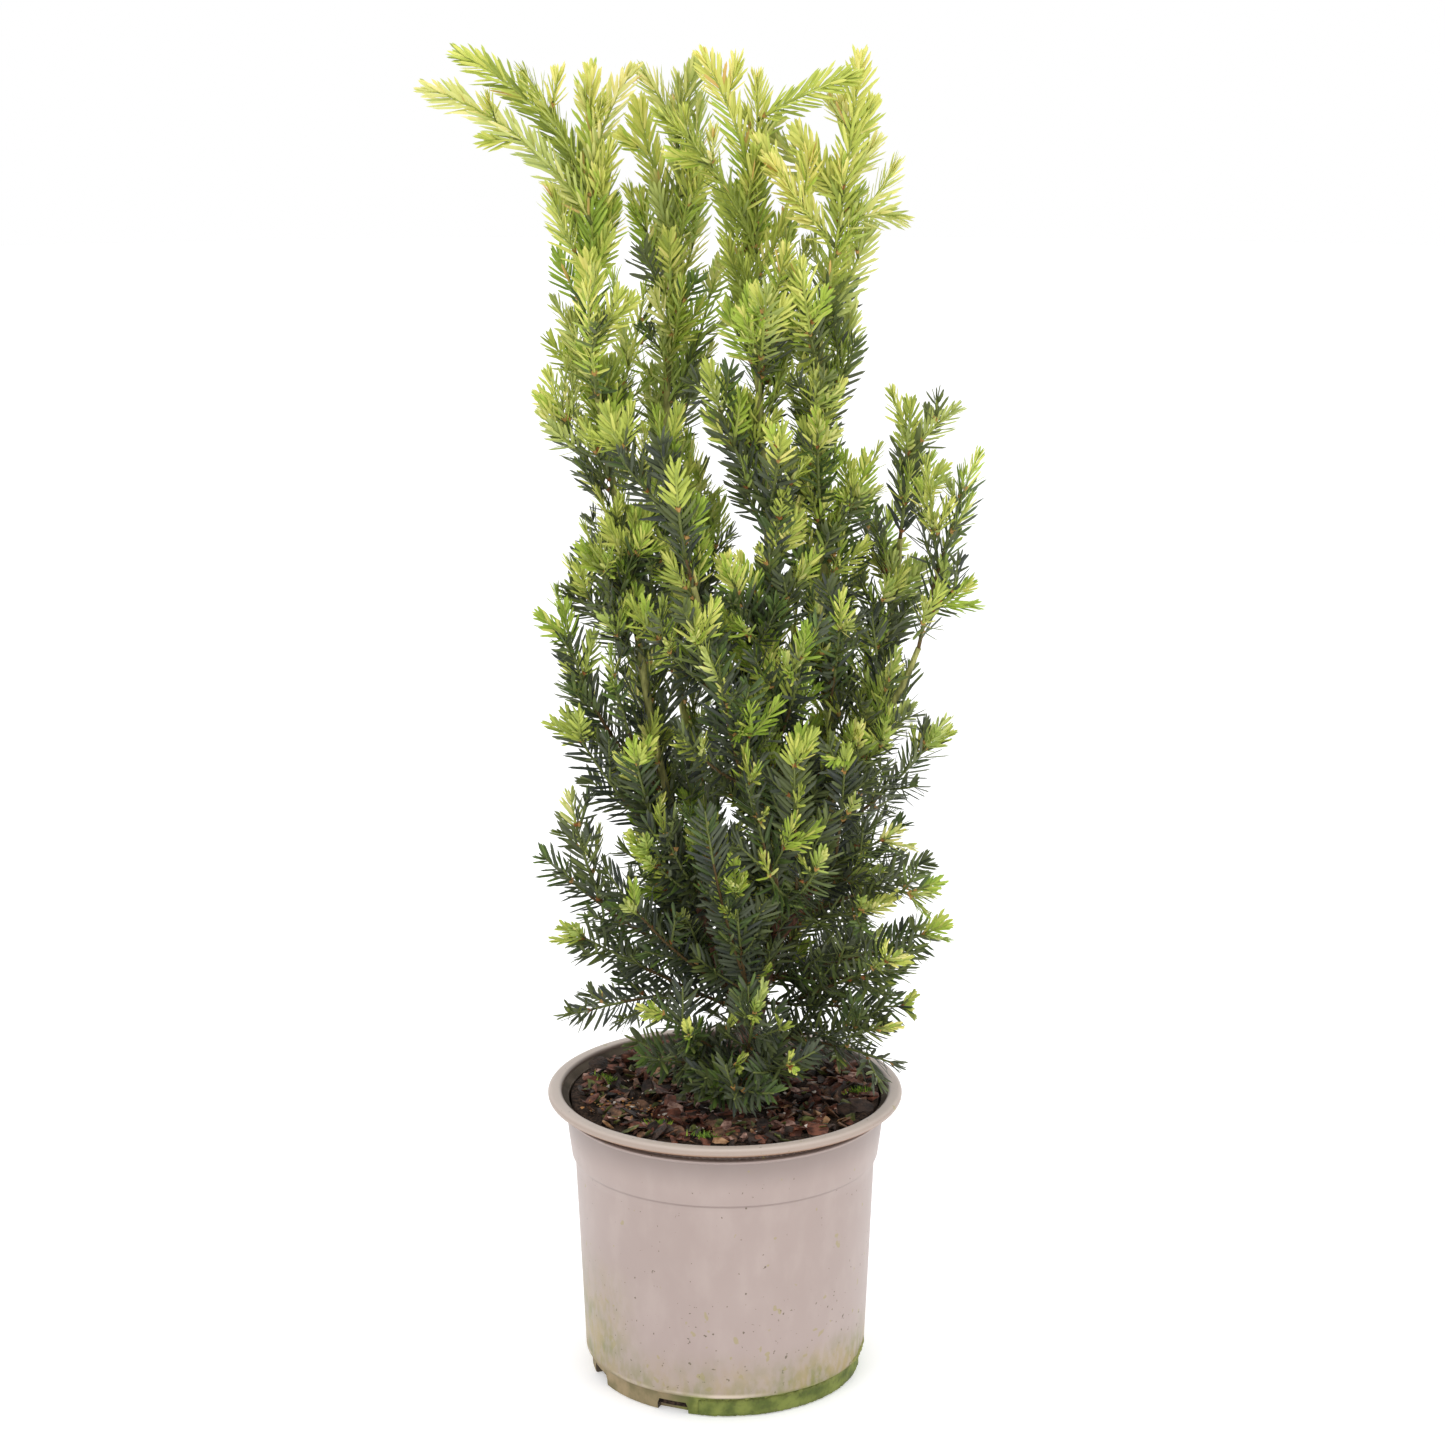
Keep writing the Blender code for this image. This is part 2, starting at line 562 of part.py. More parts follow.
def limb_tube(name, line, extra=0.0):
    """A tapering tube along a limb, thicker all round by the extra amount."""
    flare = FLARE_RINGS if name == TRUNK else (0.0,)
    count = max(2, round((line.length - flare[-1]) / LIMB_STEP))
    distances = list(flare[:-1]) + list(np.linspace(flare[-1], line.length, count + 1))
    crosses = cross_directions(line, distances)
    builder = bmesh.new()
    rings = [
        add_ring(builder, line.at(distance), cross, limb_radius(name, line, distance) + extra, LIMB_SIDES)
        for distance, cross in zip(distances, crosses)
    ]
    join_rings(builder, rings)
    builder.faces.new(rings[0][::-1])
    builder.faces.new(rings[-1])
    if name == TRUNK:
        for vertex in rings[0]:
            vertex.co.z = SOIL_TOP + GAP
    return builder


def make_limb(name, lines):
    """The trunk or a limb; a limb's foot is cut to fit round what it grows from."""
    parent = LIMBS[name][0]
    limb = object_from(limb_tube(name, lines[name]), name)
    if parent:
        cutters = helper_collection("foot_cutters")
        cutter = object_from(limb_tube(parent, lines[parent], GAP), "foot_cutter", cutters)
        cutter.hide_render = True
        cutter.display_type = "WIRE"
        boolean(limb, cutters, "DIFFERENCE")
    limb.data.shade_smooth()
    limb.data.set_sharp_from_angle(angle=SHARP_LIMB)
    limb.data.materials.append(finish_material(name, BARK_FINISH))
    return limb


def shoot_lines(limb_lines):
    """The line of each shoot in the table, from the axis of what it grows from."""
    lines = dict(limb_lines)
    for name, (parent, along, bearing, climb, reach, bend) in SHOOTS.items():
        start = lines[parent].length if along is TIP else along * CM
        lines[name] = growth_line(lines[parent].at(start), bearing, climb, reach * CM, bend)
    return lines


def masses():
    """For each mass, its stem and branches from the table, parents first."""
    groups = {}
    stem_of = {}
    for name, (parent, *_) in SHOOTS.items():
        stem_of[name] = name if parent in LIMBS else stem_of[parent]
        groups.setdefault(stem_of[name], []).append(name)
    return groups


def twig_lines(mass, names, lines):
    """The small twigs of one mass: each leaves its shoot at an angle, turned on from the one before."""
    chance = random.Random(f"{TWIG_SEED} {mass}")
    twigs = []
    for name in names:
        reach = SHOOTS[name][4]
        count = round(reach / TWIG_EVERY_CM) if reach >= TWIG_LEAST_REACH_CM else 0
        turn = chance.uniform(0, 360)
        for number in range(count):
            share = TWIG_FIRST + (TWIG_LAST - TWIG_FIRST) * (number + chance.uniform(*TWIG_JITTER)) / count
            line = lines[name]
            distance = share * line.length
            heading = line.heading(distance)
            side, other = cross_directions(line, [distance])[0]
            turn += TWIG_TURN
            across = side * math.cos(math.radians(turn)) + other * math.sin(math.radians(turn))
            away = math.radians(TWIG_ANGLE)
            way = heading * math.cos(away) + across * math.sin(away)
            bearing = math.degrees(math.atan2(way[1], way[0]))
            climb = math.degrees(math.asin(way[2])) + TWIG_LIFT
            twig_reach = chance.uniform(*TWIG_REACH_CM) * CM
            twigs.append(growth_line(line.at(distance), bearing, climb, twig_reach, TWIG_BEND))
    return twigs


class Space:
    """The places already taken, as balls, each with its owner."""

    def __init__(self, most=MOST_BALLS):
        self.centres = np.zeros((most, 3))
        self.radii = np.zeros(most)
        self.owners = np.full(most, -1)
        self.count = 0

    def take(self, centres, radii, owner):
        """Add balls for one owner."""
        end = self.count + len(centres)
        self.centres[self.count:end] = centres
        self.radii[self.count:end] = radii
        self.owners[self.count:end] = owner
        self.count = end

    def is_free(self, centres, radii, owner):
        """Whether balls lie clear of every other owner's, and of the pot and the soil."""
        radial = np.hypot(centres[:, 0], centres[:, 1]) + radii
        bottom = centres[:, 2] - radii
        low = bottom < RIM_TOP + CLEARANCE
        if (bottom < SOIL_TOP + SOIL_CLEARANCE).any():
            return False
        if (low & (radial > COLLAR_RADIUS_TOP - WALL - CLEARANCE)).any():
            return False
        others = self.owners[:self.count] != owner
        taken = self.centres[:self.count][others]
        apart = np.linalg.norm(centres[:, None, :] - taken[None, :, :], axis=2)
        return bool((apart > radii[:, None] + self.radii[:self.count][others][None, :]).all())


def core_balls(line, start, radius):
    """Balls along a core, from a distance past its root to its tip."""
    distances = np.arange(start, line.length, BALL_STEP)
    centres = np.array([line.at(distance) for distance in distances]).reshape(-1, 3)
    return centres, np.full(len(centres), radius + CLEARANCE)


def needle_balls(base, tip):
    """Balls along a needle, which narrows to its tip."""
    shares = np.array(BALL_SHARES)
    centres = base + np.outer(shares, tip - base)
    return centres, NEEDLE_HALF_WIDTH * (1 - shares) + CLEARANCE


def needle_tip(base, heading, outward, share, climb, chance):
    """Where the needle that stands on a face ends; it leans further forward near the shoot's tip."""
    up = np.array([0.0, 0.0, 1.0])
    up = up - heading * np.dot(up, heading)
    size = np.linalg.norm(up)
    if size > 0.01:
        up = up / size
        outward = outward - up * np.dot(outward, up) * FLATNESS * math.cos(climb) ** 2
        outward = outward / np.linalg.norm(outward)
    near_tip = max(0.0, (share - TIP_STARTS) / (1 - TIP_STARTS))
    lean = math.radians(NEEDLE_LEAN + (NEEDLE_LEAN_TIP - NEEDLE_LEAN) * near_tip)
    length = NEEDLE * (1 + (NEEDLE_TIP_SHARE - 1) * near_tip) * chance.uniform(*NEEDLE_VARY)
    return base + (heading * math.cos(lean) + outward * math.sin(lean)) * length


def root_seat(tree, line, radius):
    """Where along a stem its foot starts, a gap clear of its limb, and the turn that puts a corner there."""
    for distance in np.arange(SEAT_REACH, 0.0, -SEAT_STEP):
        cross = cross_directions(line, [distance])[0]
        centre = line.at(distance)
        for turn in np.linspace(0.0, 2 * math.pi, SEAT_TURNS, endpoint=False):
            corner = centre + (cross[0] * math.cos(turn) + cross[1] * math.sin(turn)) * radius
            if tree.find_nearest(Vector(corner))[3] < GAP:
                return distance + SEAT_STEP, turn
    return GAP, 0.0


def spray(plan, space, chance, collection):
    """One shoot as a closed shape: a twisted core, needles drawn out of its faces, and a last needle."""
    line, start, turn, radius, owner = plan
    sunk = turn is None
    if sunk:
        turn = chance.uniform(0, 2 * math.pi)
    end = line.length - LAST_NEEDLE
    count = max(1, round((end - start) / RING_STEP))
    distances = np.linspace(start, end, count + 1)
    crosses = cross_directions(line, distances)
    builder = bmesh.new()
    rings = []
    for number, (distance, cross) in enumerate(zip(distances, crosses)):
        share = number / count
        size = radius * (1 + (CORE_TIP_SHARE - 1) * share)
        if sunk and number == 0:
            size *= SUNK_SHARE
        ring_turn = turn + CORE_TWIST * number
        rings.append(add_ring(builder, line.at(distance), cross, size, CORE_SIDES, ring_turn))
    stretches = join_rings(builder, rings)
    builder.faces.new(rings[0][::-1])
    close_ring(builder, rings[-1], line.at(line.length))
    for number, stretch in enumerate(stretches):
        middle = (distances[number] + distances[number + 1]) / 2
        if sunk and middle < BARE_ROOT:
            continue
        heading = line.heading(middle)
        climb = math.asin(max(-1.0, min(1.0, heading[2])))
        for face in stretch:
            base = np.array(face.calc_center_median())
            outward = base - line.at(middle)
            outward = outward - heading * np.dot(outward, heading)
            tip = needle_tip(base, heading, outward / np.linalg.norm(outward), middle / line.length,
                             climb, chance)
            balls = needle_balls(base, tip)
            if space.is_free(*balls, owner):
                space.take(*balls, owner)
                bmesh.ops.poke(builder, faces=[face])["verts"][0].co = tip
    bmesh.ops.triangulate(builder, faces=builder.faces, quad_method="SHORT_EDGE")
    return object_from(builder, "spray", collection)


def make_mass(name, plans, space):
    """One mass of foliage: all its sprays joined to their stem."""
    chance = random.Random(f"needles {name}")
    collection = helper_collection("sprays")
    made = [spray(plan, space, chance, collection) for plan in plans]
    mass = made[0]
    collection.objects.unlink(mass)
    bpy.context.scene.collection.objects.link(mass)
    if len(made) > 1:
        boolean(mass, collection, "UNION")
    else:
        bpy.data.collections.remove(collection)
    mass.name = name
    mass.data.name = name
    stem = plans[0][0]
    height = stem.at(stem.length)[2]
    finish = YOUNG_FINISH if height > YOUNG_HEIGHT else OLD_FINISH
    mass.data.materials.append(finish_material(name, finish))
    return mass


def plan_sprays(lines, trees, space):
    """Every spray of every mass, with the place of each core taken before any needle is made."""
    plans = {}
    owner = len(LIMBS)
    for number, name in enumerate(LIMBS):
        distances = np.arange(0.0, lines[name].length, BALL_STEP)
        centres = np.array([lines[name].at(distance) for distance in distances])
        radii = [limb_radius(name, lines[name], distance) + CLEARANCE for distance in distances]
        space.take(centres, radii, number)
    for mass, names in masses().items():
        plans[mass] = []
        for name in names:
            start, turn = 0.0, None
            if name == mass:
                start, turn = root_seat(trees[SHOOTS[name][0]], lines[name], CORE_RADIUS)
            plans[mass].append((lines[name], start, turn, CORE_RADIUS, owner))
            space.take(*core_balls(lines[name], start, CORE_RADIUS), owner)
            owner += 1
    for mass, names in masses().items():
        for line in twig_lines(mass, names, lines):
            balls = core_balls(line, BARE_ROOT, TWIG_CORE_RADIUS)
            if space.is_free(*balls, owner):
                plans[mass].append((line, 0.0, None, TWIG_CORE_RADIUS, owner))
                space.take(*balls, owner)
                owner += 1
    return plans


def main():
    """Build the pot, the soil, the trunk, the limbs and the foliage."""
    clear_scene()
    limb_lines = {name: curve_through(limb[3]) for name, limb in LIMBS.items()}
    lines = shoot_lines(limb_lines)
    make_pot()
    make_soil(limb_lines[TRUNK].at(0.0))
    trees = {}
    graph = bpy.context.evaluated_depsgraph_get()
    for name in LIMBS:
        limb = make_limb(name, lines)
        graph.update()
        trees[name] = BVHTree.FromObject(limb, graph)
    space = Space()
    plans = plan_sprays(lines, trees, space)
    for name, mass_plans in plans.items():
        make_mass(name, mass_plans, space)


main()
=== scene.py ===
"""The looks of a young upright yew in a round nursery pot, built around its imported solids.

Values are in metres, but in centimetres where the name ends in _CM and in millimetres where it
ends in _MM. Angles are in degrees. +Z is up, and +X is to the right in the photograph.
"""

import json
import math
import random

import bmesh
import bpy
import numpy as np
from mathutils import Matrix, Vector, noise

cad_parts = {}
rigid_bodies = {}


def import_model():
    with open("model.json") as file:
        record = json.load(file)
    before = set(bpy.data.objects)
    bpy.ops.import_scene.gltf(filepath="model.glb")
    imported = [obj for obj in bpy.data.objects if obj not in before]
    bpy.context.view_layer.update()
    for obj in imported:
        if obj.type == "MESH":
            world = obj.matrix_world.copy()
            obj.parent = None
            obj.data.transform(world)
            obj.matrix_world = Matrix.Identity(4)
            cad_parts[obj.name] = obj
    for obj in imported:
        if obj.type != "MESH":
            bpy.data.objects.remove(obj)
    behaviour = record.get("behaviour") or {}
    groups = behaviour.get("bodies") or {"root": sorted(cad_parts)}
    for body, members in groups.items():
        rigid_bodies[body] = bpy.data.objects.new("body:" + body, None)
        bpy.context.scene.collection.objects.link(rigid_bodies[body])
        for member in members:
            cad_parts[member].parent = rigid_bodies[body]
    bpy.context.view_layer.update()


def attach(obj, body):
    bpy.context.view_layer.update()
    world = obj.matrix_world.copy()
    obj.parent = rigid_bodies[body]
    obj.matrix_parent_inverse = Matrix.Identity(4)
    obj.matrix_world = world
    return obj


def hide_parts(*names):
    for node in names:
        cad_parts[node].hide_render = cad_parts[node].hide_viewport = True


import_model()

MM = 0.001
CM = 0.01
UP = np.array([0.0, 0.0, 1.0])
CURVE_STEP = 0.05
LINE_POINTS = 33

# The photograph: its side in pixels, the lens in pixels, and where the camera stands
IMAGE_SIDE_PX = 1445
FOCAL_PX = 3188
SENSOR_MM = 36.0
CAMERA_PLACE = (-0.0018, -2.211, 1.041)
CAMERA_DOWN = 13.96

# The studio: the floor, and each lamp with its place, its width and its power
STAGE_RADIUS = 9.0
STAGE_SIDES = 96
STAGE_DROP = 0.3 * MM
LIGHTS_AIM = (0.0, 0.0, 0.5)
LIGHTS = (
    ("key", (-1.3, -1.9, 2.5), 1.2, 14),
    ("fill", (1.9, -1.5, 1.5), 1.6, 9),
    ("top", (0.1, 0.1, 2.9), 1.2, 16),
)

# Pot: its radii and heights; EDGE is the unit of its roundings
RIM_TOP = 0.217
RIM_RADIUS = 0.130
RIM_WIDTH = 0.0105
RIM_DEPTH = 0.0065
LIP_ROUND_OUTSIDE = 3.2 * MM
LIP_ROUND_INSIDE = 3.0 * MM
LIP_TOP_DEPTH = 4.0 * MM
COLLAR_FOOT = 0.167
COLLAR_RADIUS_TOP = 0.1170
COLLAR_RADIUS_FOOT = 0.1130
RECESS_RADIUS = 0.1145
RECESS_FOOT = 0.2036
RING_RADIUS = 0.1183
RING_HEIGHT = 0.0024
RIB_EVERY = 2
RIB_PROUD = 1.2 * MM
WALL_RADIUS_TOP = 0.1105
WALL_RADIUS_FOOT = 0.1040
WALL_STEPS = 24
LOW_WALL_HEIGHT = 0.05
LOW_WALL_RADIUS = WALL_RADIUS_FOOT + 1.4 * MM
BULGE = 0.0035
BULGE_HEIGHTS = (0.001, 0.190)
BULGE_SCALE_AROUND = 1.3
BULGE_SCALE_UP = 9
LEDGE_HEIGHT = 0.016
FOOT_RADIUS = 0.0995
WALL = 0.0020
FLOOR = 0.0025
EDGE = 1.0 * MM
POT_SIDES = 288
SHARP_POT = math.radians(40)
NOTCH_COUNT = 8
NOTCH_WIDTH = 0.024
NOTCH_HEIGHT = 0.009
NOTCH_REACH = 0.014
NOTCH_OUTLINE = ((1.0, -1.0), (1.0, 0.55), (0.86, 1.0))

# Crust of algae on the pot's foot: its bearings, its levels as shares of its height, and its heights
CRUST_FROM = 259
CRUST_TO = 352
CRUST_STEPS = 150
CRUST_LEVELS = (0.4 / 15, 4 / 15, 9 / 15, 12.5 / 15, 1)
CRUST_THICKNESS = 0.0007
CRUST_DEPTH = 0.0003
CRUST_EDGE = 0.0001
CRUST_FOOT = 0.0003
CRUST_FOOT_RAGGED = 0.0009
CRUST_TOP = 0.0125
CRUST_RISE = 0.0035
CRUST_RAGGED = 0.0022
CRUST_PEAK = 0.008
CRUST_PEAK_FROM = 0.72
CRUST_SCALE = 40
CRUST_FINER = 3.1
CRUST_FOOT_FINER = 2.3
CRUST_LUMPS = 0.8
CRUST_LUMPS_FINER = 1.7
CRUST_LUMPS_UP = 400

# Soil and what lies on it
SOIL_TOP = 0.203
SOIL_DROP = 0.001
SOIL_BANK = 0.010
SOIL_BANK_REACH = 0.100
SOIL_GAP = 1.2 * MM
SOIL_UNDER_CHIPS = 1.5 * MM
SOIL_RINGS = 22
SOIL_SIDES = 96
SOIL_LUMPS = 0.00315
LUMP_SCALES = ((38, 1.0), (110, 5.0))
CHIP_COUNT = 900
CHIP_SEED = 11
CHIP_LENGTH_MM = (7.0, 25.0, 11.5)
CHIP_WIDTH = (0.4, 0.8)
CHIP_THICKNESS_MM = (1.6, 4.2)
CHIP_LAYERS_MM = (0.0, 4.0)
CHIP_TILTS = (32, 22)
CHIP_POINTS = 11
CHIP_CROWDING = 0.46
CHIP_FROM_WALL = 0.26
CHIPS_FROM_TRUNK = 0.013
GRIT_COUNT = 190
GRIT_PLACE = (-0.068, -0.030)
GRIT_SPREAD = 0.014
GRIT_REACH = 0.105
GRIT_SIZE_MM = (0.4, 1.1)
GRIT_LAYERS_MM = (3.0, 5.5)
GRIT_POINTS = 7
GRIT_FLAT = 0.6
GRIT_ORANGE_CHANCE = 0.85
TUFT_PLACES = ((-0.048, -0.064), (-0.014, -0.096), (0.099, -0.006), (-0.088, 0.020), (0.020, 0.085))
TUFT_LEAVES = 52
TUFT_SPREAD = (0.0042, 0.0030)
TUFT_LIFT = 3.0 * MM
TUFT_LEAN = 0.7
TUFT_LEAF_MM = (3.0, 6.0)
TUFT_LEAF_WIDTH = 0.7 * MM
TUFT_LEAF_DEPTH = 0.4 * MM

# Bark chips: how common each kind is, its name, and the colours of its hollows and its fibres
CHIP_KINDS = (
    (28, "chip_dark", (0.013, 0.008, 0.006), (0.058, 0.033, 0.023)),
    (33, "chip_red", (0.052, 0.018, 0.011), (0.220, 0.078, 0.045)),
    (17, "chip_brown", (0.058, 0.029, 0.015), (0.235, 0.118, 0.064)),
    (7, "chip_rose", (0.130, 0.058, 0.042), (0.460, 0.280, 0.220)),
    (9, "chip_mossy", (0.034, 0.040, 0.010), (0.140, 0.150, 0.036)),
    (6, "chip_tan", (0.200, 0.095, 0.038), (0.500, 0.300, 0.165)),
)

# Small things of one colour: name, colour and roughness
GRIT_PAINTS = (
    ("grit_pale", (0.52, 0.46, 0.40), 0.7),
    ("grit_orange", (0.36, 0.17, 0.055), 0.6),
)
MOSS_PAINTS = (
    ("moss_green", (0.10, 0.18, 0.025), 0.8),
    ("moss_bright", (0.28, 0.40, 0.05), 0.8),
)
STEM_PAINTS = (
    ("stem_new", (0.36, 0.42, 0.09), 0.5),
    ("stem_green", (0.16, 0.19, 0.055), 0.55),
    ("stem_brown", (0.13, 0.085, 0.035), 0.7),
)
SCALE_PAINTS = (
    ("scale_tan", (0.52, 0.29, 0.10), 0.5),
    ("scale_brown", (0.30, 0.12, 0.040), 0.6),
)

# Trunk and limbs
TRUNK = "trunk"
TAPER_POWER = 0.8
FLARE = 0.75
FLARE_HEIGHT = 0.016
BARK_SIDES = 20
BARK_STEP = 0.0028
KNOT_SWELL = 0.16
KNOT_REACH = 0.005

# Bark in relief, as shares of the radius: plates and small flakes, ridges on young wood, and the root flare
PLATE_RELIEF = 0.11
PLATE_SCALE_AROUND = 1.6
PLATE_SCALE_ALONG = 95
FLAKE_RELIEF = 0.075
FLAKE_SCALE_AROUND = 2.6
FLAKE_SCALE_ALONG = 260
YOUNG_WOOD_HEIGHTS = (0.42, 0.57)
YOUNG_SMOOTHNESS = 0.6
RIDGE_RELIEF = 0.05
RIDGES = 5
RIDGE_TWIST = 55
FLARE_RELIEF = 0.12
FLARE_RINGS = 6
FLARE_STEP = 0.9

# Each limb: what it grows from, its radius at the root and the tip in mm,
# and the places in cm that its middle line passes through
LIMBS = {
    TRUNK: (None, 6.5, 2.4, [
        (0.9, 2.6, 20.3), (2.0, 2.8, 25.0), (3.4, 2.6, 31.2), (5.9, 2.5, 35.5), (7.4, 2.4, 40.1),
        (7.6, 2.0, 47.3), (7.1, 1.2, 57.8), (6.6, 0.8, 67.2), (6.6, 0.4, 76.5),
    ]),
    "left_limb": (TRUNK, 3.6, 2.2, [
        (1.7, 2.8, 24.0), (0.0, 1.9, 29.0), (-2.6, 0.0, 38.0), (-5.0, -1.0, 48.1), (-6.6, -1.2, 59.0),
        (-8.3, -1.0, 69.6), (-9.5, -0.6, 76.5),
    ]),
    "back_limb": (TRUNK, 3.6, 2.2, [
        (2.2, 2.8, 26.0), (1.0, 4.6, 30.5), (-1.0, 6.2, 38.0), (-2.8, 6.5, 47.0), (-4.2, 6.0, 57.5),
        (-4.2, 5.0, 69.0), (-3.9, 4.4, 77.0),
    ]),
    "middle_limb": (TRUNK, 3.8, 2.2, [
        (3.3, 2.6, 30.6), (3.9, 0.8, 36.0), (3.8, -1.0, 46.5), (3.3, -1.5, 55.5), (2.9, -1.2, 64.7),
        (2.2, -0.6, 75.0),
    ]),
    "front_limb": ("middle_limb", 2.8, 2.0, [
        (3.9, 0.3, 37.6), (2.9, -1.9, 42.5), (1.6, -3.4, 48.7), (-0.9, -4.4, 55.8), (-2.2, -4.6, 60.0),
    ]),
    "outer_limb": (TRUNK, 2.8, 2.0, [
        (7.5, 2.4, 41.5), (9.0, 3.4, 46.2), (11.0, 3.7, 52.2), (12.2, 3.2, 58.2), (12.5, 2.7, 62.0),
    ]),
    "far_limb": (TRUNK, 2.8, 2.0, [
        (7.6, 2.2, 44.0), (9.7, 1.0, 46.6), (12.4, -0.5, 51.5), (13.7, -0.9, 54.8),
    ]),
}

